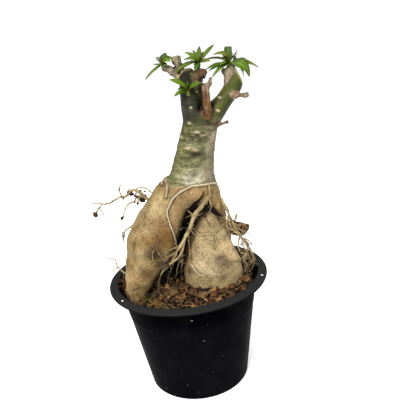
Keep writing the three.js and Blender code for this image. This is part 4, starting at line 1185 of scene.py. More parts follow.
def wood_relief():
    lumps = 0.7 * skin_noise(27, 1) + 0.34 * skin_noise(10, 2)
    lumps = lumps + 0.2 * skin_noise(4.2, 3)
    rings = 0.3 * skin_noise((40, 40, 4.6), 4) + 0.18 * skin_noise((22, 22, 2.6), 5)
    relief = lumps * (1 - 0.5 * OLD_SKIN) + rings * OLD_SKIN * (1 - on_stems)
    foot = smooth_step(175, 135, wood_points[:, 2])
    relief += foot * 0.5 * skin_noise((16, 16, 6), 6)
    relief += 0.75 * OLD_SKIN * smooth_step(290, 262, wood_points[:, 2])
    relief += 1.5 * SCARS + 0.9 * BACK_SCARS - 0.7 * UNDER_SCARS * (1 - SCARS) - 0.5 * CREASES
    relief += -1.5 * CRACKS - 2.4 * HOLES - 3.2 * WOUND + 1.3 * SIDE_RIDGE + 2.2 * HIGH_GROUND
    relief += -1.9 * IN_CHEEK - 2.2 * SLOTS
    grooves = skin_noise((1.8, 1.8, 12), 7)
    relief += on_stubs * (0.45 * grooves + 0.7 * skin_noise(3.1, 8))
    relief += KNOB * (0.9 * skin_noise(4.6, 9) + 0.5 * skin_noise(2.2, 10))
    relief[wood_points[:, 2] < 120] *= 0.2
    return relief


RELIEF = wood_relief()
relief_points = wood_points + wood_normals * RELIEF[:, None]
print("relief from", RELIEF.min().round(2), "to", RELIEF.max().round(2), "mm")

# %% Shade that gathers in hollows
def hollowness(points, normals, steps=(2.5, 6, 11, 16)):
    """0 in the open and towards 1 where other wood stands close in front of the surface."""
    total = np.zeros(len(points))
    for step in steps:
        room = depth_at(points + normals * step)
        total += np.clip((step - room) / step, 0, 1) / len(steps)
    return total


SHADE = hollowness(wood_points, wood_normals)
print("average shade:", SHADE.mean().round(3))

# %% Painting by layers
class Coat:
    """Colours for each point of the wood, laid on in layers, the way a painter glazes."""

    def __init__(self, colour):
        self.tints = np.tile(paint(*colour), (len(wood_points), 1))

    def lay(self, colour, mask):
        self.tints = mixed(self.tints, paint(*colour), np.clip(mask, 0, 1)[:, None])

    def deepen(self, factor, mask):
        self.tints *= 1 - np.clip(mask, 0, 1)[:, None] * (1 - np.asarray(factor))


def cut_rim(name):
    """The pale bark line round a sawn end, just under its edge."""
    point, normal = CUTS[name]
    above = (wood_points - point) @ unit(normal)
    return np.exp(-((above + 0.6) / 1.5) ** 2) * (NEAR["stem_" + name] < 3)


def cut_face(name):
    """1 on the flat sawn or broken end of a stem or stub."""
    chains = {**STEM_CHAINS, **STUB_CHAINS}
    point, normal = CUTS.get(name) or end_face(chains[name])
    above = (wood_points - point) @ unit(normal)
    near = (limb(chains[name], *wood_points.T) < 1.5) & (np.abs(above) < 1.6)
    return near * smooth_step(0.35, 0.8, wood_normals @ unit(normal))


# %% Paint the wood
def paint_lobes():
    x, y, z = wood_points.T
    soft, broad = skin_noise(15, 31), skin_noise(34, 32)
    fine, tiny = skin_noise(4.5, 33), skin_noise(2.2, 38)
    beside_cleft = limb(CLEFT, x, y, z, CLEFT_DEPTH)
    right = share("lobe_right", 5)
    coat = Coat((182, 156, 106))
    coat.lay((206, 184, 134), smooth_step(0.0, 0.8, soft + 0.5 * broad))
    coat.lay((156, 124, 74), smooth_step(-0.1, 0.8, -soft + 0.5 * fine) * 0.75)
    coat.lay((206, 186, 142), right * 0.8)
    coat.lay((172, 146, 100), right * smooth_step(0.0, 0.8, soft) * 0.7)
    # Painted shadow: the left lobe's shadow on the right lobe's side next to the cleft.
    coat.lay((150, 122, 80), right * smooth_step(8, -6, x) * 0.6)
    coat.lay((196, 162, 104), share("shoulder", 4) * (1 - OLD_SKIN) * FRONT)
    # Painted shade: darker brown along both sides of the cleft.
    coat.lay((146, 112, 66), smooth_step(12, 2, beside_cleft) * (0.75 - 0.4 * right) * (1 - IN_CHEEK))
    coat.lay((184, 154, 108), IN_CHEEK)
    coat.lay((164, 130, 82), IN_CHEEK * smooth_step(0.0, 0.7, soft + fine) * 0.7)
    coat.lay((172, 142, 98), smooth_step(170, 140, z) * 0.45 * (1 - 0.6 * right))
    # Painted light: the right lobe's right side and foot and the left lobe's foot are lighter, lifting the
    # shade they fall in.
    coat.lay((252, 222, 168), right * smooth_step(42, 58, x) * 0.9)
    coat.lay((220, 192, 138), right * smooth_step(160, 140, z) * 0.5)
    coat.lay((214, 182, 128), smooth_step(170, 145, z) * smooth_step(-30, -44, x) * 0.5)
    coat.lay((150, 118, 74), smooth_step(134, 126, z + 5 * fine) * 0.45)
    coat.lay((112, 82, 44), smooth_step(0.3, 0.8, fine + 0.4 * tiny) * 0.45)
    coat.lay((214, 196, 152), smooth_step(0.3, 0.8, tiny - 0.3 * fine) * 0.3)
    # Painted light: a lighter patch on the top of the left lobe, where the light falls.
    coat.lay((232, 210, 158), mark(156, 199, 34, 34) * 0.35)
    # Painted shade: darker on the top of the right lobe, under the shoulder.
    coat.lay((146, 124, 88), mark(207.4, 225, 18, 15) * 0.6)
    # Painted light: lighter on the low middle and the right side of the right lobe, where the light falls
    # brightest.
    coat.lay((236, 216, 176), mark(207, 267, 34, 20) * 0.5)
    coat.lay((232, 206, 160), mark(232, 266, 18, 24) * 0.6)
    # Stains, with a painted highlight and painted shadow among them.
    for (px, py), wide, tall, colour in STAINS_SHADOWS_AND_HIGHLIGHT:
        coat.lay(colour, mark(px, py, wide * 1.3, tall * 1.3) * 0.8)
    coat.lay((84, 56, 26), WOUND * 0.9)
    return coat.tints


# mm to the right of the middle line of the leaning trunk
BESIDE = wood_points[:, 0] - 0.29 * (wood_points[:, 2] - 258) - 18


def paint_trunk():
    x, _, z = wood_points.T
    soft, fine = skin_noise(15, 31), skin_noise(4.5, 33)
    ripple = skin_noise((9, 9, 2.6), 46) + 0.6 * skin_noise((5, 5, 1.7), 47)
    middle = smooth_step(16, 6, BESIDE) * smooth_step(276, 292, z)
    skin = Coat((170, 168, 128))
    skin.lay((230, 230, 204), smooth_step(292, 264, z) * smooth_step(-30, -12, BESIDE))
    skin.lay((144, 142, 102), smooth_step(276, 300, z) * smooth_step(16, 4, BESIDE))
    skin.lay((194, 182, 152), smooth_step(6, 14, BESIDE))
    skin.lay((104, 112, 52), smooth_step(0.0, 0.6, skin_noise((18, 18, 8), 34)) * 0.5)
    blotches = smooth_step(0.2, 0.7, skin_noise((12, 12, 7), 48)) * middle * smooth_step(270, 290, z)
    skin.lay((62, 72, 30), blotches * 0.5)
    skin.lay((190, 192, 158), smooth_step(0.2, 0.8, skin_noise((20, 20, 6), 35)) * 0.5)
    skin.lay((86, 88, 54), middle * smooth_step(0.1, 0.8, ripple) * 0.5)
    skin.lay((206, 208, 180), middle * smooth_step(0.1, 0.8, -ripple) * 0.35)
    skin.lay((214, 206, 178), smooth_step(0.25, 0.8, fine) * smooth_step(-4, 14, BESIDE) * 0.5)
    # Painted shade in the creases of the trunk.
    skin.lay((72, 74, 38), CREASES * 0.6)
    skin.lay((140, 142, 84), smooth_step(-6, -20, BESIDE) * 0.6)
    skin.lay((172, 176, 132), mark(192, 146.4, 22, 7) * 0.7)
    # Painted shadow under the big scar.
    skin.lay((46, 44, 22), mark(195.4, 153.8, 15, 6, -8) * 1.4)
    skin.lay((84, 92, 30), mark(187, 151, 11, 5) * 0.8)
    stems = Coat((72, 76, 34))
    stems.lay((24, 26, 8), share("stem_left", 6) * 0.92)
    stems.lay((104, 108, 54), share("stem_left_second", 3) * 0.9)
    right = share("stem_right", 6)
    stems.lay((96, 100, 28), right)
    stems.lay((60, 68, 18), right * smooth_step(0.0, 0.7, soft) * 0.6)
    # Painted shade on the lower side of the right branch.
    shaded_underside = smooth_step(-0.1, 0.6, wood_normals @ np.array([0.72, 0.0, -0.69]))
    stems.lay((34, 44, 10), right * shaded_underside * 0.8)
    stems.lay((140, 134, 100), smooth_step(0.5, 0.9, fine) * 0.15)
    skin.tints = mixed(skin.tints, stems.tints, on_stems[:, None])
    dark_bark = smooth_step(312, 328, z) * smooth_step(366, 350, z) * smooth_step(40, 26, x)
    skin.lay((110, 100, 80), mark(188, 112, 15, 22) * smooth_step(-0.4, 0.6, fine) * 0.8)
    skin.lay((46, 46, 32), dark_bark * smooth_step(-0.3, 0.6, fine + 0.5 * soft) * 0.7)
    collar = inside_outline(COLLAR, 2.5) * (1 - on_stubs)
    skin.lay((62, 46, 30), collar * smooth_step(-1.2, 0.1, skin_noise((7, 7, 3), 50)) * 0.85)
    skin.lay((176, 160, 130), collar * smooth_step(0.25, 0.7, skin_noise((6, 6, 2.2), 45)) * 0.8)
    return skin.tints


DRY_COLOURS = {
    "tall": (122, 82, 48),
    "tall_tip": (190, 170, 148),
    "top": (178, 168, 142),
    "right": (158, 130, 104),
    "low": (150, 124, 96),
    "centre": (132, 108, 82),
    "twig_left": (150, 144, 122),
}


def paint_wood():
    x, y, z = wood_points.T
    fine = skin_noise(4.5, 33)
    coat = Coat((0, 0, 0))
    coat.tints = mixed(paint_lobes(), paint_trunk(), OLD_SKIN[:, None])
    for name, colour in DRY_COLOURS.items():
        coat.lay(colour, share("stub_" + name, 1.6) * on_stubs)
    coat.lay((178, 164, 140), KNOB)
    patchy = np.maximum(KNOB, on_stubs)
    grooves = patchy * smooth_step(0.1, 0.6, skin_noise((1.9, 1.9, 12), 36))
    coat.lay((66, 48, 32), grooves * (0.75 - 0.35 * KNOB))
    coat.lay((206, 192, 166), patchy * smooth_step(0.15, 0.6, skin_noise(3.4, 37)) * 0.7)
    tall = share("stub_tall", 2)
    coat.lay((126, 84, 44), tall * 0.7)
    coat.lay((200, 182, 158), tall * smooth_step(368, 376, z + 4 * fine) * 0.75)
    coat.lay((176, 122, 66), tall * smooth_step(344, 336, z + 3 * fine) * 0.8)
    coat.lay((52, 30, 15), tall * smooth_step(0.15, 0.55, skin_noise((1.7, 1.7, 16), 41)) * 0.85)
    coat.lay((190, 150, 100), tall * smooth_step(0.25, 0.6, skin_noise((1.6, 1.6, 14), 42)) * 0.6)
    # Painted shade in the gap beside the tall stub.
    coat.lay((34, 20, 12), mark(204.4, 112.6, 3.4, 6) * 0.8)
    for name in CUTS:
        face = cut_face(name)
        rim = smooth_step(-3.0, -1.2, limb(STEM_CHAINS[name], x, y, z))
        coat.lay((112, 84, 56) if name == "left_second" else (112, 98, 66), face)
        if name != "left_second":
            coat.lay((222, 200, 142), np.maximum(face * rim, cut_rim(name)))
    for name in STUB_CHAINS:
        coat.lay((196, 178, 152), cut_face(name) * 0.8)
    coat.lay((116, 66, 34), mark(202.5, 71.5, 6, 6) * 0.85)
    coat.lay((36, 22, 14), mark(206.3, 73, 3, 3))
    # Painted shadow below the scars.
    coat.lay((78, 76, 42), UNDER_SCARS * 0.65)
    coat.lay((236, 220, 180), SCARS * 0.95)
    coat.lay((186, 170, 136), BACK_SCARS * 0.8)
    coat.lay((214, 198, 156), np.exp(-(above_edge / 0.9) ** 2) * 0.6 * (z < 275))
    coat.lay((206, 190, 150), SIDE_RIDGE * 0.7)
    # Painted shade in the slits and pits.
    coat.lay((60, 40, 22), CRACKS * 0.9)
    coat.lay((28, 18, 12), HOLES * 0.95)
    # Painted shadow along the laid roots.
    coat.deepen((0.45, 0.36, 0.26), SHADOW_UNDER_ROOTS * 0.8)
    coat.deepen((0.26, 0.20, 0.15), smooth_step(0.14, 0.7, SHADE))
    # Painted shade, partly soil, near black in the depths of the cleft.
    in_cleft = smooth_step(3, -1, limb(CLEFT, x, y, z, CLEFT_DEPTH)) * smooth_step(-30, -20, y)
    for depths in (in_cleft * (1 - OLD_SKIN) * smooth_step(0.05, 0.22, SHADE), BEHIND_CLEFT):
        coat.lay((26, 17, 11), depths)
    return coat.tints


WOOD_TINTS = paint_wood()
print("average tint:", WOOD_TINTS.mean(axis=0).round(3))

# %% Living wood material
def living_wood():
    """Speckled skin below, wrinkles and fine upright cracks on the trunk, grooves on the dry stubs."""
    material, tree, shader, place, tint = finish_of("living_wood")
    trunk, upright, dry, green = (put(tree, "ShaderNodeAttribute", attribute_name=name).outputs["Fac"]
                                  for name in ("old_skin", "upright", "dry", "green"))
    skin = use_group(tree, MOTTLE, tint, place, Patch=0.26, Speckle=0.8, Fleck=0.45)
    smooth = use_group(tree, MOTTLE, tint, place, Patch=0.2, Speckle=0.3, Fleck=0.2)
    hide = use_group(tree, CRACKS_GROUP, skin["Colour"], place, Depth=0.34, Cells=430.0,
                     Stretch=(1, 1, 0.75))
    scales = use_group(tree, CRACKS_GROUP, skin["Colour"], place, Depth=1.0, Cells=560.0,
                       Stretch=(1, 1, 0.4))
    wrinkles = use_group(tree, GRAIN, skin["Colour"], place, Depth=0.9, Fineness=0.7,
                         Stretch=(0.3, 0.3, 1.3))
    bark = blend(tree, upright, wrinkles["Colour"], scales["Colour"])
    bark = blend(tree, green, bark, smooth["Colour"])
    striped = blend(tree, trunk, hide["Colour"], bark)
    dead = use_group(tree, GRAIN, skin["Colour"], place, Depth=0.6, Fineness=1.6, Stretch=(1, 1, 0.12))
    tree.links.new(blend(tree, dry, striped, dead["Colour"]), shader.inputs["Base Color"])
    rough_height = calc(tree, "ADD", skin["Height"], calc(tree, "ADD", hide["Height"], scales["Height"]))
    height = calc(tree, "ADD", rough_height, calc(tree, "MULTIPLY", wrinkles["Height"], trunk))
    height = calc(tree, "MULTIPLY", height, spread(tree, green, 0, 1, 1.0, 0.3))
    height = calc(tree, "ADD", height, calc(tree, "MULTIPLY", dead["Height"],
                                            calc(tree, "MULTIPLY", dry, 1.5)))
    raise_surface(tree, shader, height, 0.5, 0.0008)
    tree.links.new(spread(tree, green, 0, 1, 0.75, 0.42), shader.inputs["Roughness"])
    shader.inputs["Specular IOR Level"].default_value = 0.12
    return material


LIVING_WOOD = living_wood()
UPRIGHT = smooth_step(-8, 8, BESIDE + 7 * skin_noise(16, 43))
GREEN = on_stems * (1 - on_stubs) * (1 - KNOB) * smooth_step(330, 352, wood_points[:, 2])
wood_values = {"old_skin": OLD_SKIN, "dry": np.maximum(on_stubs, KNOB), "green": GREEN, "upright": UPRIGHT}
woody_plant = add_piece("woody_plant", relief_points, wood_quads, LIVING_WOOD, WOOD_TINTS,
                        wood_values)
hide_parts("caudex_and_stems")
print("wood stands", round(woody_plant.dimensions.z * 1000, 1), "mm tall")

# %% [markdown]
# ## Roots
# Thin roots lie on the wood, cross the cleft and curl in bunches at both sides. A Blender
# curve with a bevel would give smooth hoses. Here each root is a tube with its own rings,
# so that it can wander, thicken at its joints and send out hairs by rule.

# %% Tubes with rings of their own
def tube(points, radii, sides=8):
    """A closed tube through points, with a radius at each; also gives its length and turn as UV."""
    points = np.asarray(points, dtype=float)
    ahead = np.vstack([points[1:], points[-1:]]) - np.vstack([points[:1], points[:-1]])
    ahead /= np.maximum(np.linalg.norm(ahead, axis=1, keepdims=True), 1e-9)
    side = np.array([0.31, 0.87, 0.39])
    angles = 2 * np.pi * np.arange(sides) / sides
    run = np.concatenate([[0], np.cumsum(np.linalg.norm(np.diff(points, axis=0), axis=1))])
    rings, uvs = [], []
    for point, along, radius, length in zip(points, ahead, radii, run):
        side = unit(side - along * (side @ along))
        across = np.cross(along, side)
        radius = np.broadcast_to(radius, sides)[:, None]
        rings.append(point + radius * (np.cos(angles)[:, None] * side + np.sin(angles)[:, None] * across))
        uvs.append(np.stack([np.full(sides, length), angles * radius[:, 0]], 1))
    last = (len(points) - 1) * sides
    faces = bands(len(points), sides) + [range(sides)[::-1], range(last, last + sides)]
    return np.vstack(rings), faces, np.vstack(uvs) * MM


def even_steps(points, step):
    """The same path with points about `step` mm apart; other columns follow along."""
    gaps = np.linalg.norm(np.diff(points[:, :3], axis=0), axis=1)
    run = np.concatenate([[0], np.cumsum(gaps)])
    places = np.linspace(0, run[-1], max(3, int(run[-1] / step) + 1))
    return np.stack([np.interp(places, run, points[:, k]) for k in range(points.shape[1])], 1)


def wander(points, amount, size, seed, hold_start=True):
    """Bends a path off its line by a soft random sway; a root stays put where it starts."""
    sway = np.stack([lattice_noise(points[:, :3], size, seed + n) for n in range(3)], 1)
    ease = np.minimum(np.arange(len(points)) / 4, 1)[:, None] if hold_start else 1
    moved = points.copy()
    moved[:, :3] += sway * amount * ease
    return moved


# %% One root and its hairs
ROOT_PALE, ROOT_TAN, ROOT_DARK = paint(204, 184, 132), paint(160, 132, 84), paint(104, 80, 44)
ROOT_BLEACHED = paint(232, 222, 192)


def root_tint(points, seed, pale=0.5):
    shade = lattice_noise(points, 6, seed)
    tan = smooth_step(-0.7 + pale * 0.4, 0.6 + pale * 0.4, shade)[:, None]
    dirt = smooth_step(0.25, 0.7, lattice_noise(points, 3.4, seed + 5))[:, None] * 0.7
    tint = mixed(mixed(ROOT_PALE, ROOT_TAN, tan), ROOT_DARK, dirt)
    return mixed(tint, ROOT_BLEACHED, min(max(pale - 1, 0), 1))


def add_root(heap, controls, thick, thin, seed, sway, pale, sides=8):
    """Grows one root along control points and returns its path."""
    path = even_steps(catmull_rom(np.asarray(controls, dtype=float), 8), 1.6)
    path = wander(path, sway, 7, seed)
    along = np.linspace(0, 1, len(path))
    radii = thick + (thin - thick) * along
    radii *= 1 + 0.22 * lattice_noise(path, 3.2, seed + 3) + 0.12 * lattice_noise(path, 1.5, seed + 4)
    radii[-1] *= 0.45
    points, faces, uv = tube(path, radii, sides)
    heap.add(points, faces, root_tint(points, seed, pale), uv)
    return path


def add_hairs(heap, path, count, reach, seed, droop=0.5, thick=0.42, start=0.15, sides=5):
    """Fine side roots that leave a root at random places and curl away."""
    rng = np.random.default_rng(seed)
    for n in range(count):
        index = int(len(path) * rng.uniform(start, 1)) - 1
        heading = unit(rng.normal(size=3) * (1, 0.55, 1) - (0, 0, droop))
        length = reach * rng.uniform(0.45, 1.1)
        points = [path[index]]
        while len(points) < 3 + length / 1.5:
            heading = unit(heading + rng.normal(size=3) * 0.28 - (0, 0, 0.05 * droop))
            points.append(points[-1] + heading * 1.4)
        points = np.array(points)
        if (depth_at(points[2:]) < -1.0).any():
            continue  # it would grow into the wood
        made, faces, uv = tube(points, np.linspace(thick, thick * 0.45, len(points)), sides)
        heap.add(clear_of_pot(made) if droop > 0.4 else made, faces, root_tint(made, seed + n, 0.9), uv)


# %% Root bark material
def root_bark():
    material, tree, shader, place, tint = finish_of("root_bark")
    along = put(tree, "ShaderNodeUVMap", uv_map="UVMap").outputs[0]
    grain = use_group(tree, GRAIN, tint, along, Depth=0.45, Fineness=2.2, Stretch=(0.25, 1, 1))
    skin = use_group(tree, MOTTLE, grain["Colour"], place, Patch=0.1, Speckle=0.45, Fleck=0.3, Size=1.3)
    tree.links.new(skin["Colour"], shader.inputs["Base Color"])
    raise_surface(tree, shader, calc(tree, "ADD", grain["Height"], skin["Height"]), 0.35, 0.0005)
    shader.inputs["Roughness"].default_value = 0.75
    shader.inputs["Specular IOR Level"].default_value = 0.3
    return material


ROOT_BARK = root_bark()

# %% Lay the thin roots on the wood
WOOD_TREE = KDTree(len(wood_points))
for number, point in enumerate(wood_points):
    WOOD_TREE.insert(point, number)
WOOD_TREE.balance()


def relief_at(points):
    """How far the painted skin stands out of the plain field near each point."""
    return np.array([np.mean([RELIEF[hit[1]] for hit in WOOD_TREE.find_n(point, 6)]) for point in points])


def build_laid_roots():
    heap = Heap()
    for seed, (places, thick, thin, pale) in enumerate(LAID_ROOTS.values()):
        controls = np.array([on_wood(px, py) for px, py in places])
        path = even_steps(catmull_rom(controls, 6), 1.3)
        path, slope = toward_surface(wander(path, 0.5, 6, 40 + seed))
        path += slope * (0.75 * thick + relief_at(path))[:, None]
        radii = np.linspace(thick, thin, len(path)) * (1 + 0.18 * lattice_noise(path, 3, seed))
        points, faces, uv = tube(path, radii, 8)
        heap.add(points, faces, root_tint(points, 60 + seed, pale), uv)
    heap.piece("laid_roots", ROOT_BARK, "roots")


build_laid_roots()

# %% Free roots: (px, py, depth) places and the two radii of each strand
ROOT_BUNCHES = {
    "root_spray_left": [
        ([(150, 201, 6), (141, 194, 6), (133, 190, 6), (126, 196, 4), (119, 197.5, 4)], 2.4, 1.3),
        ([
            (119, 197.5, 4), (112.9, 201.3, 2), (108.3, 203.6, 2), (100.7, 203.6, 0),
            (88.2, 202.5, 0)], 1.3, 0.6),
        ([(122, 196.5, 4), (119.8, 193, 5), (119, 188, 6), (121.3, 183, 6)], 1.0, 0.6),
        ([(103.5, 203.6, 1), (99, 208, -1), (95.3, 215, -3)], 0.9, 0.8),
        ([(99, 208, -1), (103, 213, 0), (105.2, 218, 0)], 0.7, 0.4),
        ([(136, 192, 6), (135, 200, 2), (128, 204.5, 0), (124, 212, -2), (122, 219, -2)], 1.2, 0.7),
        ([(141, 194, 6), (139, 198, 3), (138, 203.6, 3)], 1.2, 0.8),
        ([(152.7, 193, 8), (147, 189, 9), (141.2, 187.5, 9), (134, 190, 7)], 1.0, 0.8),
    ],
    "root_twig_left": [
        ([
            (137, 221, -6), (132.8, 225, -6), (125, 231, -8), (124.5, 236, -8),
            (123.6, 243, -8)], 1.3, 0.6),
        ([(126, 230, -8), (122.5, 234, -9), (121, 238, -10)], 0.8, 0.5),
    ],
    "root_twig_low": [
        ([
            (129, 275, -14), (122, 271, -14), (117.5, 266.4, -14), (114.4, 259.5, -14),
            (107.5, 258.7, -12)], 1.1, 0.6),
        ([(118.5, 268, -14), (114, 269, -15), (112.5, 273, -15)], 0.8, 0.5),
    ],
    "roots_cleft": [
        ([
            (209.4, 188.5, -6), (208.4, 194.5, -15), (206.2, 199.8, -22), (202.6, 204.8, -26),
            (197.2, 211.8, -29), (193.8, 217.6, -31), (190.8, 225.6, -33), (187.2, 233.6, -36),
            (182.6, 242, -38), (177.2, 250.7, -40)], 3.3, 1.7),
        ([
            (178, 249.5, -40), (174.4, 257.6, -39), (168.1, 266.5, -36), (163.5, 271, -32),
            (160, 276.5, -26), (158.9, 284, -18), (158.8, 292, -10)], 1.6, 1.0),
        ([
            (185, 239, -37), (184.1, 244.9, -37), (181.8, 251.8, -38), (178.4, 257.6, -39),
            (172.7, 262.2, -39), (167, 267.4, -36)], 1.4, 1.0),
        ([
            (184.3, 243, -37), (182.4, 252, -33), (182, 262, -22), (181.8, 272, -8),
            (181.6, 280, 2)], 1.3, 1.0),
        ([
            (178, 250, -40), (175.6, 257, -37), (172.6, 266, -29), (169.4, 274, -18),
            (167, 284, -4)], 0.9, 0.6),
        ([(175.5, 252, -40), (171, 255, -43), (167, 256.5, -47)], 1.1, 0.7),
        ([(209, 197, -19), (210, 203, -24), (213, 206.5, -22)], 0.9, 0.6),
        ([(196, 215, -30), (192, 214.5, -30), (188, 210.5, -26)], 1.0, 0.6),
        ([(184, 236, -37), (189, 229, -33), (193.6, 224, -28)], 0.8, 0.5),
        ([(179.4, 246, -40), (173, 249, -41), (168, 251.6, -41), (164, 256, -40)], 0.9, 0.6),
        ([(181, 251, -38), (179, 262, -32), (177, 270, -22), (176, 279, -8)], 0.8, 0.6),
    ],
    "roots_right": [
        ([
            (221, 198, 2), (225.5, 207, -2), (229.8, 216.7, -6), (234.5, 226, -6), (240, 236, -6),
            (246, 243, -5), (250, 250, -4)], 1.8, 0.8),
        ([
            (229.8, 216.7, -6), (226.8, 222, -10), (229, 228, -9), (235, 231, -8),
            (240, 236, -6)], 1.2, 0.9),
        ([
            (240, 236, -6), (238.5, 244, -8), (240, 252, -8), (245.9, 254, -8), (240, 259, -10),
            (231, 262, -14)], 1.1, 0.7),
        ([(246, 243, -5), (247.5, 251, -5), (244.5, 260, -4), (248, 268, 0), (245.5, 277, 4)], 1.0, 0.7),
        ([(235, 227, -6), (243, 231, -2), (251, 234, 2)], 0.9, 0.5),
        ([(241, 237, -6), (248, 240, -2), (253, 245, 2)], 0.9, 0.5),
        ([(232, 221, -6), (236, 219, -4), (236.5, 213.5, -4)], 1.0, 1.2),
        ([(246, 243, -5), (252, 252, -2), (254, 261, 2), (251.5, 270, 8)], 1.0, 0.6),
        ([
            (224, 203, 0), (229, 212, -4), (228, 220, -8), (232, 228, -8), (238, 233, -6),
            (243, 240, -6)], 1.1, 0.8),
        ([
            (236, 231, -6), (241, 236, -8), (245, 239.5, -8), (249, 246, -6), (247, 252, -6),
            (250, 258, -4)], 1.0, 0.6),
        ([
            (240, 244, -8), (244, 247, -8), (247, 255, -6), (243, 262, -6), (246, 268, -2),
            (244, 274, 2)], 0.9, 0.6),
        ([(232, 222, -6), (238, 226, -4), (242, 224, -2), (246, 227, 0)], 0.8, 0.5),
        ([(229, 228, -9), (226, 234, -12), (229, 240, -12)], 0.8, 0.5),
        ([(250, 250, -4), (253, 256, -2), (252, 262, 0), (249, 266, 0)], 0.8, 0.5),
    ],
}
HAIRS = {
    "root_spray_left": (4, 9, 0.3),
    "root_twig_left": (5, 7, 0.5),
    "root_twig_low": (3, 6, 0.2),
    "roots_cleft": (4, 8, 0.6),
    "roots_right": (9, 12, 0.5),
}
print("bunches:", len(ROOT_BUNCHES), "strands:", sum(map(len, ROOT_BUNCHES.values())))

# %% Grow the bunches
def clear_of_pot(path):
    """Keeps roots that hang below the mouth off the wall of the pot."""
    limit = np.where(path[:, 2] < POT_HEIGHT + 4, BODY_RADIUS - WALL - 2.5, 1000.0)
    path[:, :2] *= np.minimum(1, limit / np.hypot(path[:, 0], path[:, 1]))[:, None]
    return path


def build_bunch(name, strands, seed):
    heap = Heap()
    hairs, reach, droop = HAIRS[name]
    for n, (places, thick, thin) in enumerate(strands):
        controls = np.array([seen(*place) for place in places])
        if name in ("roots_cleft", "roots_right"):
            controls = clear_of_pot(controls)
        pale = 0.7 if name == "roots_right" else 0.4
        path = add_root(heap, controls, thick, thin, seed + 11 * n, sway=0.7, pale=pale)
        add_hairs(heap, path, hairs, reach, seed + 100 + n, droop)
    piece = heap.piece(name + "_fine", ROOT_BARK, "roots")
    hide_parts(name)


for number, (name, strands) in enumerate(ROOT_BUNCHES.items()):
    build_bunch(name, strands, 200 + 37 * number)


# %% Clods of soil on the left spray
CLODS = [
    (95.6, 214.5, -3, 3.0), (94.2, 213.2, -3, 1.5), (122, 218.4, -2, 2.0), (123.6, 216.6, -2, 1.4),
    (130.5, 193.4, 5, 2.7), (128, 191.8, 5, 1.7), (141, 199.6, 4, 3.2), (138.6, 197.6, 4, 2.4),
    (143.6, 200.6, 5, 2.4), (137.8, 203.4, 3, 1.8), (142.4, 193.6, 7, 1.6), (135, 196, 3, 1.4),
    (112.5, 201.5, 2, 1.2), (123.4, 236, -8, 1.2), (120.5, 197, 4, 1.3), (133, 194.6, 5, 2.0),
    (129, 189.6, 5, 1.3), (119.4, 190, 5, 1.2), (123.4, 198.6, 4, 1.2), (145, 195.6, 7, 2.2),
    (140.4, 191, 6, 1.5), (106, 203.2, 1, 1.1), (144.6, 191.4, 7, 1.6), (134.6, 202.4, 1, 1.3),
]


def lump(centre, radius, rng, squash=(1, 1, 1), rough=0.28, detail=2):
    """A rough ball: an icosphere pushed in and out by noise."""
    ball = bmesh.new()
    bmesh.ops.create_icosphere(ball, subdivisions=detail, radius=1.0)
    points = np.array([vertex.co[:] for vertex in ball.verts])
    faces = [[vertex.index for vertex in face.verts] for face in ball.faces]
    ball.free()
    shift = rng.uniform(-40, 40, 3)
    reach = 1 + rough * lattice_noise(points * 1.6 + shift, 1)
    reach += rough * 0.5 * lattice_noise(points * 4 + shift, 1)
    return points * reach[:, None] * radius * squash + centre, faces


def build_clods():
    heap, rng = Heap(), np.random.default_rng(5)
    for px, py, y, radius in CLODS:
        points, faces = lump(seen(px, py, y), radius, rng, rng.uniform(0.75, 1.2, 3), 0.4)
        heap.add(points, faces, paint(92, 68, 44) * rng.uniform(0.4, 1.3))
    return heap


# %% [markdown]
# ## Potting mix with bark
# The pot holds coarse bark chips, crumbs of dark peat, threads of coir and a little moss.
# A displaced plane would look like one crust, so the ground is a low uneven bed and every
# chip, crumb and thread on it is a small mesh of its own, scattered from a fixed seed.

# %% Bed of the mix
MIX_LEVEL, EDGE_DROP, LUMP = 132.0, 3.0, 1.6


def mix_height(x, y):
    r = np.hypot(x, y) / BODY_RADIUS
    lumps = np.sin(x * 0.21 + 1.3) * np.cos(y * 0.19) + 0.6 * np.sin(x * 0.47 - y * 0.39)
    return MIX_LEVEL - EDGE_DROP * r * r + LUMP * 0.5 * lumps


def crumb_soil():
    """Dark crumbs; the same finish serves the bed, the crumbs and the clods."""
    material, tree, shader, place, tint = finish_of("crumb_soil")
    skin = use_group(tree, MOTTLE, tint, place, Patch=0.35, Speckle=0.7, Fleck=0.35)
    tree.links.new(skin["Colour"], shader.inputs["Base Color"])
    raise_surface(tree, shader, skin["Height"], 0.8, 0.0015)
    shader.inputs["Roughness"].default_value = 0.92
    shader.inputs["Specular IOR Level"].default_value = 0.15
    return material


def bark_chip():
    material, tree, shader, place, tint = finish_of("bark_chip")
    along = put(tree, "ShaderNodeUVMap", uv_map="UVMap").outputs[0]
    grain = use_group(tree, GRAIN, tint, along, Depth=1.0, Fineness=0.8, Stretch=(0.2, 1, 1))
    skin = use_group(tree, MOTTLE, grain["Colour"], place, Patch=0.45, Speckle=0.8, Fleck=0.25)
    tree.links.new(skin["Colour"], shader.inputs["Base Color"])
    raise_surface(tree, shader, calc(tree, "ADD", grain["Height"], skin["Height"]), 0.7, 0.001)
    shader.inputs["Roughness"].default_value = 0.85
    shader.inputs["Specular IOR Level"].default_value = 0.2
    return material


CRUMB_SOIL, BARK_CHIP = crumb_soil(), bark_chip()
MIX_EDGE = wall_radius(MIX_LEVEL - EDGE_DROP) - WALL - 0.6
build_clods().piece("soil_clods", CRUMB_SOIL, "mix")


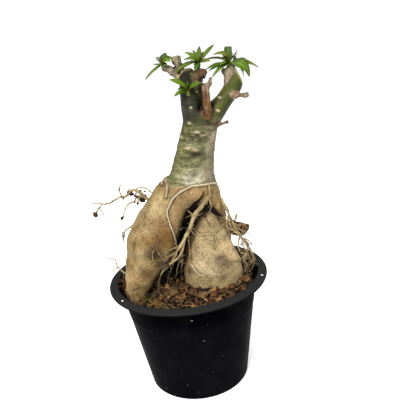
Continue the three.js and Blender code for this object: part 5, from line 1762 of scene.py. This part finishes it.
def build_bed(rings=46, segments=150):
    reach = np.linspace(0, 1, rings + 1)[1:] * MIX_EDGE
    angles = 2 * np.pi * np.arange(segments) / segments
    points = [(0, 0, float(mix_height(0, 0)))]
    for radius in reach:
        x, y = radius * np.cos(angles), radius * np.sin(angles)
        flat = np.stack([x, y, np.zeros(segments)], 1)
        z = mix_height(x, y) + 1.2 * layered_noise(flat, (6, 6, 6), 71) - 1.0
        points += np.stack([x, y, z], 1).tolist()
    under = FLOOR + 0.4
    points = np.vstack([*points, level_ring(wall_radius(under) - WALL - 0.6, under, segments),
                        (0, 0, under)])
    low = 1 + rings * segments
    faces = fan(0, 1, segments) + bands(rings + 1, segments, 1, inward=True)
    faces += fan(low + segments, low, segments, inward=True)
    red = smooth_step(-0.2, 0.7, layered_noise(points, 9, 72))[:, None]
    tints = mixed(paint(24, 16, 11), paint(60, 38, 22), red)
    bed = add_piece("mix_bed", points, faces, CRUMB_SOIL, tints)
    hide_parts("potting_mix")


build_bed()

# %% Bark chips
CHIP_COLOURS = [
    (190, 138, 76), (160, 106, 52), (216, 168, 104), (106, 68, 34), (64, 42, 24), (156, 116, 68),
    (34, 24, 16),
]
CHIPS_SEEN = [  # (px, py) of the middle, length, width, turn in degrees, colour
    ((174.6, 293.6), 28, 13, 78, (184, 151, 91)), ((184.6, 290.6), 18, 14, 25, (158, 117, 64)),
    ((194.3, 296.2), 19, 14, 62, (138, 98, 52)), ((203.9, 298.6), 15, 13, 15, (172, 134, 87)),
    ((200.5, 285.8), 12, 9, 40, (138, 91, 42)), ((214, 297), 15, 8, 14, (151, 105, 59)),
    ((224, 294), 17, 8, 12, (146, 101, 57)), ((240.5, 284.4), 14, 6, 80, (175, 134, 82)),
    ((251, 271.4), 11, 8, 60, (129, 87, 45)), ((233, 289.6), 12, 8, 30, (129, 87, 47)),
    ((174.3, 279), 12, 9, 20, (77, 50, 32)), ((186, 282), 9, 6, 120, (112, 75, 42)),
    ((116.6, 272.6), 11, 6, 80, (129, 87, 49)), ((119, 283), 10, 5, 110, (138, 93, 50)),
    ((228, 283.5), 13, 7, 20, (100, 68, 35)), ((247, 279.6), 11, 7, 40, (160, 109, 60)),
    ((206.6, 289.4), 10, 7, 150, (120, 82, 44)), ((166.6, 303.6), 9, 7, 10, (138, 109, 84)),
    ((181.4, 303.6), 11, 6, 20, (151, 123, 71)), ((146.7, 303.4), 10, 6, 20, (138, 119, 37)),
    ((161.2, 301.8), 8, 7, 70, (160, 105, 29)), ((144, 296), 8, 6, 40, (112, 77, 37)),
    ((155, 299), 9, 7, 10, (83, 80, 34)), ((190.4, 303), 9, 6, 160, (103, 68, 37)),
]


def chip(rng, length, width, thick, corners):
    """A broken shard of bark: a jagged outline in three layers with an uneven top."""
    angles = 2 * np.pi * (np.arange(corners) + rng.uniform(-0.36, 0.36, corners)) / corners
    reach = 1 + rng.uniform(-0.42, 0.16, corners)
    x, y = np.cos(angles) * length / 2 * reach, np.sin(angles) * width / 2 * reach
    points, layers = [(0, 0, -0.5 * thick)], ((0.86, -0.5), (1.0, -0.1), (0.94, 0.36))
    for share_out, up in layers:
        lift = thick * (up + rng.uniform(-0.22, 0.22, corners))
        points += np.stack([x * share_out, y * share_out, lift], 1).tolist()
    points.append((rng.uniform(-0.2, 0.2) * length, rng.uniform(-0.2, 0.2) * width,
                   thick * rng.uniform(0.3, 0.7)))
    last = 1 + (len(layers) - 1) * corners
    faces = fan(0, 1, corners, inward=True) + bands(len(layers), corners, 1)
    faces += fan(len(points) - 1, last, corners)
    points = np.array(points)
    uv = points[:, :2] * MM + rng.uniform(0, 1, 2)
    return points, faces, uv


def lay_chip(heap, rng, x, y, length, width, turn, tilt, thick, colour, lifted):
    points, faces, uv = chip(rng, length, width, thick, int(rng.integers(8, 13)))
    spin = Matrix.Rotation(turn, 3, "Z") @ Matrix.Rotation(tilt[0], 3, "X")
    points = points @ np.array(spin @ Matrix.Rotation(tilt[1], 3, "Y")).T
    points = points + (x, y, float(mix_height(x, y)) + lifted)
    if np.hypot(points[:, 0], points[:, 1]).max() < BODY_RADIUS - 1.9:
        shade = rng.uniform(0.6, 1.3)
        heap.add(points, faces, paint(*colour) * shade, uv)


def against_wood(x, y):
    """1 where the mix is heaped against the caudex, fading out over a centimetre."""
    return float(smooth_step(11, 1, depth_at([(x, y, MIX_LEVEL)])[0]))


SEEN_THICK, SEEN_LIFT = 3.8, 6.2  # the chips that the picture shows lie on top, in mm


def random_place(rng, reach, least=0):
    """A point of the disc of the mix, drawn evenly over its area."""
    angle, radius = rng.uniform(0, 2 * np.pi), reach * math.sqrt(rng.uniform(least, 1))
    return radius * math.cos(angle), radius * math.sin(angle)


def scatter_chips(count=640, seed=11):
    heap, rng = Heap(), np.random.default_rng(seed)
    for (px, py), length, width, turn, colour in CHIPS_SEEN:
        line = sight_line(px, py)
        spot = EYE + line * (MIX_LEVEL + 0.5 - EYE[2]) / line[2]
        spot = spot * min(1.0, (MIX_EDGE - length / 2 + 1) / math.hypot(spot[0], spot[1]))
        lay_chip(heap, rng, spot[0], spot[1], length, width, math.radians(turn),
                 rng.uniform(-0.3, 0.3, 2) + (0.3, 0), SEEN_THICK, colour, SEEN_LIFT)
    for _ in range(count):
        x, y = random_place(rng, MIX_EDGE - 2, 0.02)
        length = rng.uniform(4, 16)
        colour = CHIP_COLOURS[rng.integers(len(CHIP_COLOURS))]
        tilt, turn, thick = rng.uniform(-1, 1, 2), rng.uniform(0, np.pi), rng.uniform(1.4, 3.6)
        width, lifted = length * rng.uniform(0.2, 0.5), rng.uniform(0.2, 2.8) + 4.5 * against_wood(x, y)
        if depth_at([(x, y, MIX_LEVEL)])[0] > 0.5:
            lay_chip(heap, rng, x, y, length, width, turn, tilt, thick, colour, lifted)
    heap.piece("bark_chips", BARK_CHIP, "bark_chips")


scatter_chips()

# %% Crumbs, moss and coir threads
MOSS_COLOURS = [(138, 112, 36), (104, 92, 30), (166, 134, 50)]
THREAD_COLOURS = [(140, 104, 64), (96, 64, 40), (170, 140, 92)]
OVER_FLANGE = 22  # threads that hang over the flange on the left
CRUMB_COLOURS = [(40, 26, 15), (76, 48, 26), (124, 82, 42), (24, 16, 10), (160, 116, 66)]


def scatter_crumbs(count=2200, seed=12):
    heap, rng = Heap(), np.random.default_rng(seed)
    for _ in range(count):
        x, y = random_place(rng, MIX_EDGE - 1.5)
        size = rng.uniform(0.5, 1.9)
        centre = (x, y, float(mix_height(x, y)) + rng.uniform(-0.6, 3.6) + 4 * against_wood(x, y))
        px, py = picture_place(np.array([centre]))
        mossy = 138 < px[0] < 168 and py[0] > 294
        kinds = MOSS_COLOURS if mossy else CRUMB_COLOURS
        colour = kinds[rng.integers(len(kinds))]
        points, faces = lump(centre, size, rng, rng.uniform(0.6, 1.4, 3), 0.4, detail=1)
        if depth_at([centre])[0] > 0.3:
            heap.add(points, faces, paint(*colour) * rng.uniform(0.7, 1.2))
    heap.piece("mix_crumbs", CRUMB_SOIL, "mix")


def scatter_threads(count=420, seed=13):
    """Coir and dead roots lying over the mix; the first few hang over the flange on the left."""
    heap, rng = Heap(), np.random.default_rng(seed)
    for n in range(count):
        at_left = n < OVER_FLANGE
        angle = math.radians(rng.uniform(172, 226)) if at_left else rng.uniform(0, 2 * np.pi)
        radius = MIX_EDGE * (rng.uniform(0.86, 1.0) if at_left else math.sqrt(rng.uniform(0.1, 0.95)))
        point = np.array([radius * math.cos(angle), radius * math.sin(angle), 0.0])
        point[2] = mix_height(point[0], point[1]) + rng.uniform(1.5, 4)
        heading = np.append(rng.normal(size=2), 0.1)
        if at_left:
            heading = np.array([math.cos(angle), math.sin(angle), 1.1]) + rng.normal(size=3) * 0.35
        points = [point]
        for _ in range(int(rng.integers(6, 13))):
            heading = heading + rng.normal(size=3) * 0.3
            if at_left:
                heading[2] -= 0.25
            heading = unit(heading)
            after = points[-1] + heading * 1.7
            reach = math.hypot(after[0], after[1])
            ground = POT_HEIGHT + 1.6 if reach > BODY_RADIUS - 2 else mix_height(after[0], after[1]) + 1.2
            after[2] = max(after[2], ground) if at_left else min(max(after[2], ground), ground + 4)
            if reach > MIX_EDGE and not at_left:
                break
            points.append(after)
        if len(points) > 3 and (depth_at(points) > 0.2).all():
            made, faces, uv = tube(points, np.linspace(0.5, 0.25, len(points)), 5)
            colour = (150, 104, 62) if at_left else THREAD_COLOURS[rng.integers(3)]
            heap.add(made, faces, paint(*colour) * rng.uniform(0.7, 1.1), uv)
    heap.piece("coir_threads", ROOT_BARK, "mix")


scatter_crumbs()
scatter_threads()

# %% [markdown]
# ## Leaves
# The young leaves are glossy, folded along the midrib and arch away from each bud in a
# rosette. A flat card with a picture would do from afar, but real blades with two faces,
# a fold, a waved edge and a pointed tip look right from every side.

# %% Leaf blades
def blade_width(t):
    """Share of the full width from the stalk to the tip."""
    return 0.16 + 0.84 * np.sin(np.pi * np.power(t, 0.85)) ** 0.85


LEAF_STATIONS, LEAF_ACROSS = 16, 7


def add_blade(heap, rng, base, tip, width, lift, colour, tip_colour, side_bend=0.0, blunt=0.0):
    """One arched blade of real thickness, folded along its midrib."""
    along = tip - base
    facing_up = np.array([0, -0.6, 0.8])
    across = unit(np.cross(along, facing_up))
    above = unit(np.cross(across, along))
    length = np.linalg.norm(along)
    stations = np.linspace(0, 1, LEAF_STATIONS)
    sides = np.linspace(-1, 1, LEAF_ACROSS)
    phase = rng.uniform(0, 6.28)
    top, uvs, tints = [], [], []
    for t in stations:
        wide = blade_width(min(t, 1 - blunt * 0.35)) if t < 1 else 0.1 + blunt * 0.4
        half = width / 2 * wide
        centre = base + along * t + above * (4 * lift * t * (1 - t)) + across * (side_bend
                                                                                 * math.sin(math.pi * t))
        wave = 0.12 * half * math.sin(phase + 9 * t)
        for s in sides:
            up = abs(s) * half * 0.42 + wave * s
            top.append(centre + across * (s * half) + above * up)
            uvs.append((t * length * MM, s))
            tone = mixed(colour * (0.8 + 0.2 * min(1, 3 * t)), tip_colour, smooth_step(0.72, 1.0, t))
            tints.append(tone * (1 + 0.25 * (abs(s) < 0.1)))
    top = np.array(top)
    thick = 0.5 - 0.3 * np.abs(np.tile(sides, LEAF_STATIONS))
    under = top - above * thick[:, None]
    count = LEAF_STATIONS * LEAF_ACROSS
    faces = []
    for i in range(LEAF_STATIONS - 1):
        for j in range(LEAF_ACROSS - 1):
            a = i * LEAF_ACROSS + j
            ring = (a, a + LEAF_ACROSS, a + LEAF_ACROSS + 1, a + 1)
            faces += [ring[::-1], tuple(n + count for n in ring)]
    edge = [i * LEAF_ACROSS for i in range(LEAF_STATIONS)]
    edge += [(LEAF_STATIONS - 1) * LEAF_ACROSS + j for j in range(1, LEAF_ACROSS)]
    edge += [i * LEAF_ACROSS + LEAF_ACROSS - 1 for i in range(LEAF_STATIONS - 2, -1, -1)]
    edge += list(range(LEAF_ACROSS - 2, 0, -1))
    faces += [(a, b, b + count, a + count) for a, b in zip(edge, edge[1:] + edge[:1])]
    pale_under = np.array(tints) * (1.05, 1.0, 1.1)
    heap.add(np.vstack([top, under]), faces, np.vstack([tints, pale_under]), np.vstack([uvs, uvs]))


# %% Leaf skin material
def leaf_skin():
    """Green with a pale midrib and side veins that lean forward; glossy above."""
    material, tree, shader, place, tint = finish_of("leaf_skin")
    uv = put(tree, "ShaderNodeSeparateXYZ",
             {0: put(tree, "ShaderNodeUVMap", uv_map="UVMap").outputs[0]}).outputs
    off_middle = calc(tree, "ABSOLUTE", uv[1])
    run = calc(tree, "SUBTRACT", calc(tree, "MULTIPLY", uv[0], 520.0),
               calc(tree, "MULTIPLY", off_middle, 1.1))
    side_vein = spread(tree, calc(tree, "ABSOLUTE", calc(tree, "SUBTRACT", calc(tree, "FRACT", run), 0.5)),
                       0.1, 0.02)
    midrib = spread(tree, off_middle, 0.14, 0.03)
    veins = calc(tree, "MAXIMUM", midrib, calc(tree, "MULTIPLY", side_vein, 0.4))
    skin = use_group(tree, MOTTLE, tint, place, Patch=0.3, Speckle=0.25, Fleck=0.1, Size=1.4)
    paler = blend(tree, 0.5, skin["Colour"], (*paint(176, 204, 90), 1))
    colour = blend(tree, calc(tree, "MULTIPLY", veins, 0.55), skin["Colour"], paler)
    dusty = use_group(tree, DUST, colour, place, Dust=(*paint(120, 112, 84), 1), Amount=0.2)
    tree.links.new(dusty["Colour"], shader.inputs["Base Color"])
    raise_surface(tree, shader, calc(tree, "SUBTRACT", skin["Height"], calc(tree, "MULTIPLY", veins, 1.5)),
                  0.5, 0.0005)
    tree.links.new(spread(tree, dusty["Mask"], 0, 0.4, 0.42, 0.7), shader.inputs["Roughness"])
    shader.inputs["Specular IOR Level"].default_value = 0.16
    return material


LEAF_SKIN = leaf_skin()

# %% Rosettes: tips as (px, py, depth), width and arch in mm, and a colour name
LEAF_BREADTH = 1.4
LEAF_COLOURS = {
    "bright": (104, 142, 4),
    "mid": (88, 120, 2),
    "deep": (60, 90, 4),
    "olive": (116, 122, 20),
    "yellow": (168, 150, 40),
    "brown": (140, 84, 36),
    "blue": (70, 116, 30),
}
TIP_COLOURS = {
    "bright": (112, 136, 40),
    "mid": (104, 114, 28),
    "deep": (64, 92, 20),
    "olive": (140, 116, 40),
    "yellow": (170, 120, 40),
    "brown": (110, 60, 28),
    "blue": (76, 122, 48),
}
ROSETTES = {
    "leaves_left": {
        "bud": ((163.5, 69, -2), (162, 62, -2), 2.4, 1.5),
        "blades": [
            ((145.2, 79.8, -6), 3, 1, "mid"), ((153.2, 64, -6), 2.2, -1, "mid"),
            ((165.7, 52.8, 0), 6.5, 1, "deep"), ((172.3, 57.4, 2), 6.5, 2, "mid"),
            ((170.5, 61.5, -12), 6, 2, "bright"), ((159, 57, 14), 6, 2, "deep"),
            ((160, 65, -12), 2.6, 1, "bright"), ((158.8, 61, -4), 2.6, 1, "deep"),
            ((167.4, 66, -10), 3, 1, "mid"),
        ],
    },
    "leaves_centre": {
        "bud": ((197.8, 69, -8), (199, 60, -8), 2.8, 1.6),
        "blades": [
            ((213.8, 44.5, -2), 4, 1, "mid"), ((199.4, 46.2, -6), 4.4, 0.5, "mid"),
            ((184.7, 52.4, -8), 4.8, 2, "bright"), ((183.9, 60, -16), 4.4, 3, "mid"),
            ((175.6, 72.7, -20), 4.6, 4, "mid"), ((210.4, 61.2, -16), 4.6, 1, "olive"),
            ((194.6, 71, -20), 4, 2, "blue"), ((203.4, 51.2, -6), 1.8, 0, "brown"),
            ((192.6, 50, -4), 3.2, 0.5, "olive"), ((206, 53, 12), 4.6, 2, "mid"),
            ((190, 54, 12), 4.6, 2, "deep"), ((205, 62.4, -22), 3, 1, "mid"),
            ((196.4, 55, -12), 3, 0.6, "bright"), ((187.6, 63.4, -24), 3, 1.2, "deep"),
            ((201.4, 57, -14), 2.4, 0.3, "brown"),
        ],
    },
    "leaves_low": {
        "bud": ((188.5, 95.5, -11), (187, 89, -16), 2.7, 1.5),
        "blades": [
            ((169.4, 79.8, -24), 6.5, 3, "bright"), ((202.6, 82.7, -26), 6, 2, "mid"),
            ((188.2, 81.8, -22), 4, 1, "blue"), ((194.4, 81.8, -18), 1.8, 0, "brown"),
            ((177.3, 89.5, -16), 3.6, 1, "deep"), ((174.4, 96.3, -24), 5, 2, "bright"),
            ((179.4, 93.4, -26), 3, 1, "deep"), ((185, 87, -26), 2.6, 0.5, "mid"),
            ((191, 88.4, -26), 2.2, 0.3, "brown"),
        ],
    },
    "leaves_right": {
        "bud": ((229, 70, -2), (229, 60, -3), 3.6, 1.8),
        "blades": [
            ((213, 54.6, -10), 5.2, 6, "olive"), ((206, 69.4, -14), 3.8, 2.5, "mid"),
            ((204.3, 60, -4), 2.8, 4, "deep"), ((212.2, 77.3, -16), 3.8, 4, "bright"),
            ((227.9, 46.4, 0), 7.5, 1, "deep"), ((216.3, 56.6, -2), 2.6, 0, "yellow"),
            ((222.2, 56.8, -6), 2.6, 0, "yellow"), ((258.5, 67.5, -2), 4.8, 4, "olive"),
            ((249.5, 76.5, -8), 11, 8, "mid"), ((243.4, 76.6, 8), 5, 5, "deep"),
            ((237.5, 50, 6), 1.4, 0, "deep"), ((224, 52, 16), 6, 2, "mid"),
            ((208.6, 70.8, -18), 3.2, 1.4, "deep"), ((224, 58.4, -16), 3.4, 0.8, "mid"),
            ((232.6, 63, -20), 3, 0.8, "bright"), ((220, 64.6, -20), 3.4, 1.2, "bright"),
        ],
    },
}
print("blades:", sum(len(r["blades"]) for r in ROSETTES.values()))

# %% Grow the rosettes
HEART_LEAVES = 7  # tiny leaves in the middle of each rosette
BLUNT_LEAF = (227.9, 46.4)


def build_rosette(name, bud, blades, seed):
    heap, rng = Heap(), np.random.default_rng(seed)
    foot, top, thick, thin = seen(*bud[0]), seen(*bud[1]), bud[2], bud[3]
    spine = np.linspace(foot, top, 9)
    points, faces, uv = tube(spine, np.linspace(thick, thin, 9) * (1 + 0.12 * rng.uniform(-1, 1, 9)), 10)
    heap.add(points, faces, paint(92, 88, 36), uv)
    heart = foot + (top - foot) * 0.75
    for tip, width, lift, kind in blades:
        start = heart + rng.normal(size=3) * 0.5
        blunt, tints = 0.9 if tip[:2] == BLUNT_LEAF else 0.0, (LEAF_COLOURS[kind], TIP_COLOURS[kind])
        add_blade(heap, rng, start, seen(*tip), width * LEAF_BREADTH, lift,
                  *(paint(*tint) for tint in tints),
                  side_bend=rng.uniform(-0.6, 0.6), blunt=blunt)
    for _ in range(HEART_LEAVES):
        aim = top + np.array([rng.uniform(-3, 3), rng.uniform(-3, 1), rng.uniform(1, 5)])
        add_blade(heap, rng, heart, aim, 2.6, 0.3, paint(116, 110, 34), paint(136, 92, 40))
    piece = heap.piece(name + "_fine", LEAF_SKIN, "leaves")
    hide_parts(name)


for number, (name, rosette) in enumerate(ROSETTES.items()):
    build_rosette(name, rosette["bud"], rosette["blades"], 300 + number)


# %% Dead leaf bases beside the right rosette
def build_tuft():
    heap, rng = Heap(), np.random.default_rng(9)
    foot, top = seen(233, 66, 2), seen(235, 57, 3)
    spine = np.linspace(foot, top, 7)
    points, faces, uv = tube(spine, np.linspace(2.2, 1.1, 7) * rng.uniform(0.85, 1.15, 7), 8)
    heap.add(points, faces, paint(70, 52, 36), uv)
    for _ in range(16):
        start = foot + (top - foot) * rng.uniform(0.3, 1)
        aim = start + np.array([rng.uniform(-1, 4), rng.uniform(-3, 2), rng.uniform(0.5, 4.5)])
        line = np.linspace(start, aim, 4)
        points, faces, uv = tube(line, np.linspace(0.5, 0.2, 4), 5)
        heap.add(points, faces, paint(84, 62, 44) * rng.uniform(0.6, 1.3), uv)
    heap.piece("dry_tuft", ROOT_BARK, "bark")


build_tuft()

# %% [markdown]
# ## Loose bark caught by the plant
# A flake of bark stands behind the roots on the right and a grey piece lies over a wound
# on the left lobe. Both are plates with worn, uneven edges, so they are made like the
# chips in the pot: an outline in layers, finer and larger.

# %% Flake and wound piece
FLAKE_OUTLINE = [
    (226, 220.4), (231, 220.8), (236.7, 221.3), (243, 222.6), (249.4, 224.4), (249.2, 228.6),
    (246.4, 232.6), (242, 236.3), (236, 235.4), (230, 234),
]
FLAKE_DEPTH, FLAKE_THICK = 20.0, 2.2


def build_flake():
    rim = np.array([seen(px, py, FLAKE_DEPTH) for px, py in FLAKE_OUTLINE])
    middle = rim.mean(axis=0)
    rng = np.random.default_rng(3)
    fine = even_steps(np.vstack([rim, rim[:1]]), 1.2)[:-1]
    fine = fine + rng.normal(size=fine.shape) * (0.25, 0, 0.25)
    count = len(fine)
    points = [middle + (0, -FLAKE_THICK / 2, 0)]
    layers = ((0.5, -0.5), (0.88, -0.46), (1.0, -0.2), (1.0, 0.2), (0.88, 0.46), (0.5, 0.5))
    for share_out, back in layers:
        ring = middle + (fine - middle) * share_out
        ring[:, 1] += FLAKE_THICK * back + 0.12 * lattice_noise(ring, 4, 8)
        points += ring.tolist()
    points.append(middle + (0, FLAKE_THICK / 2, 0))
    last = 1 + (len(layers) - 1) * count
    faces = fan(0, 1, count) + bands(len(layers), count, 1, inward=True)
    faces += fan(len(points) - 1, last, count, inward=True)
    points = np.array(points)
    shade = 1 + 0.2 * lattice_noise(points, 7, 4)[:, None]
    piece = add_piece("bark_flake_fine", points, faces, BARK_CHIP, paint(126, 76, 46) * shade,
                      uv=points[:, [0, 2]] * MM * 2.6)
    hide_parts("bark_flake")


SHARDS = [  # shift in mm, length and width in mm, colour
    ((-4.6, 0, 1.8), (8.6, 7.4), (128, 102, 64)), ((0.4, -0.8, 0.2), (11, 8.6), (104, 84, 56)),
    ((4.8, -0.4, -1.8), (9.4, 6.4), (132, 106, 68)), ((-1.8, -1, 3), (7.6, 4.6), (84, 62, 38)),
    ((6.8, -0.6, -0.8), (5.6, 4.2), (66, 48, 36)),
]


def build_wound_piece():
    """Grey crumbled bark: a few shards pressed together."""
    rng = np.random.default_rng(6)
    heap = Heap()
    spot = on_wood(161.8, 264) + (0, -2.6, 0)
    for shift, size, colour in SHARDS:
        points, faces, uv = chip(rng, *size, 3, 9)
        lifted = Matrix.Rotation(rng.uniform(1.1, 1.5), 3, "X")
        upright = lifted @ Matrix.Rotation(rng.uniform(-0.4, 0.2), 3, "Z")
        heap.add(points @ np.array(upright).T + spot + shift, faces, paint(*colour), uv)
    piece = heap.piece("bark_piece_fine", BARK_CHIP, "bark_chips", smooth=False)
    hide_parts("bark_piece")


build_flake()
build_wound_piece()

# %% [markdown]
# ## Last steps
# Colours are shown plainly, without a film look, and the size of what has been made is
# written beside the size of the frame so that the two can be compared.

# %% Colour view and sizes
bpy.context.scene.view_settings.view_transform = "Standard"
visual_box = [list(corner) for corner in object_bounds()]
for label, box in (("visual box:", visual_box), ("cad box:", frame_box)):
    print(label, [[round(v / MM, 1) for v in corner] for corner in box])
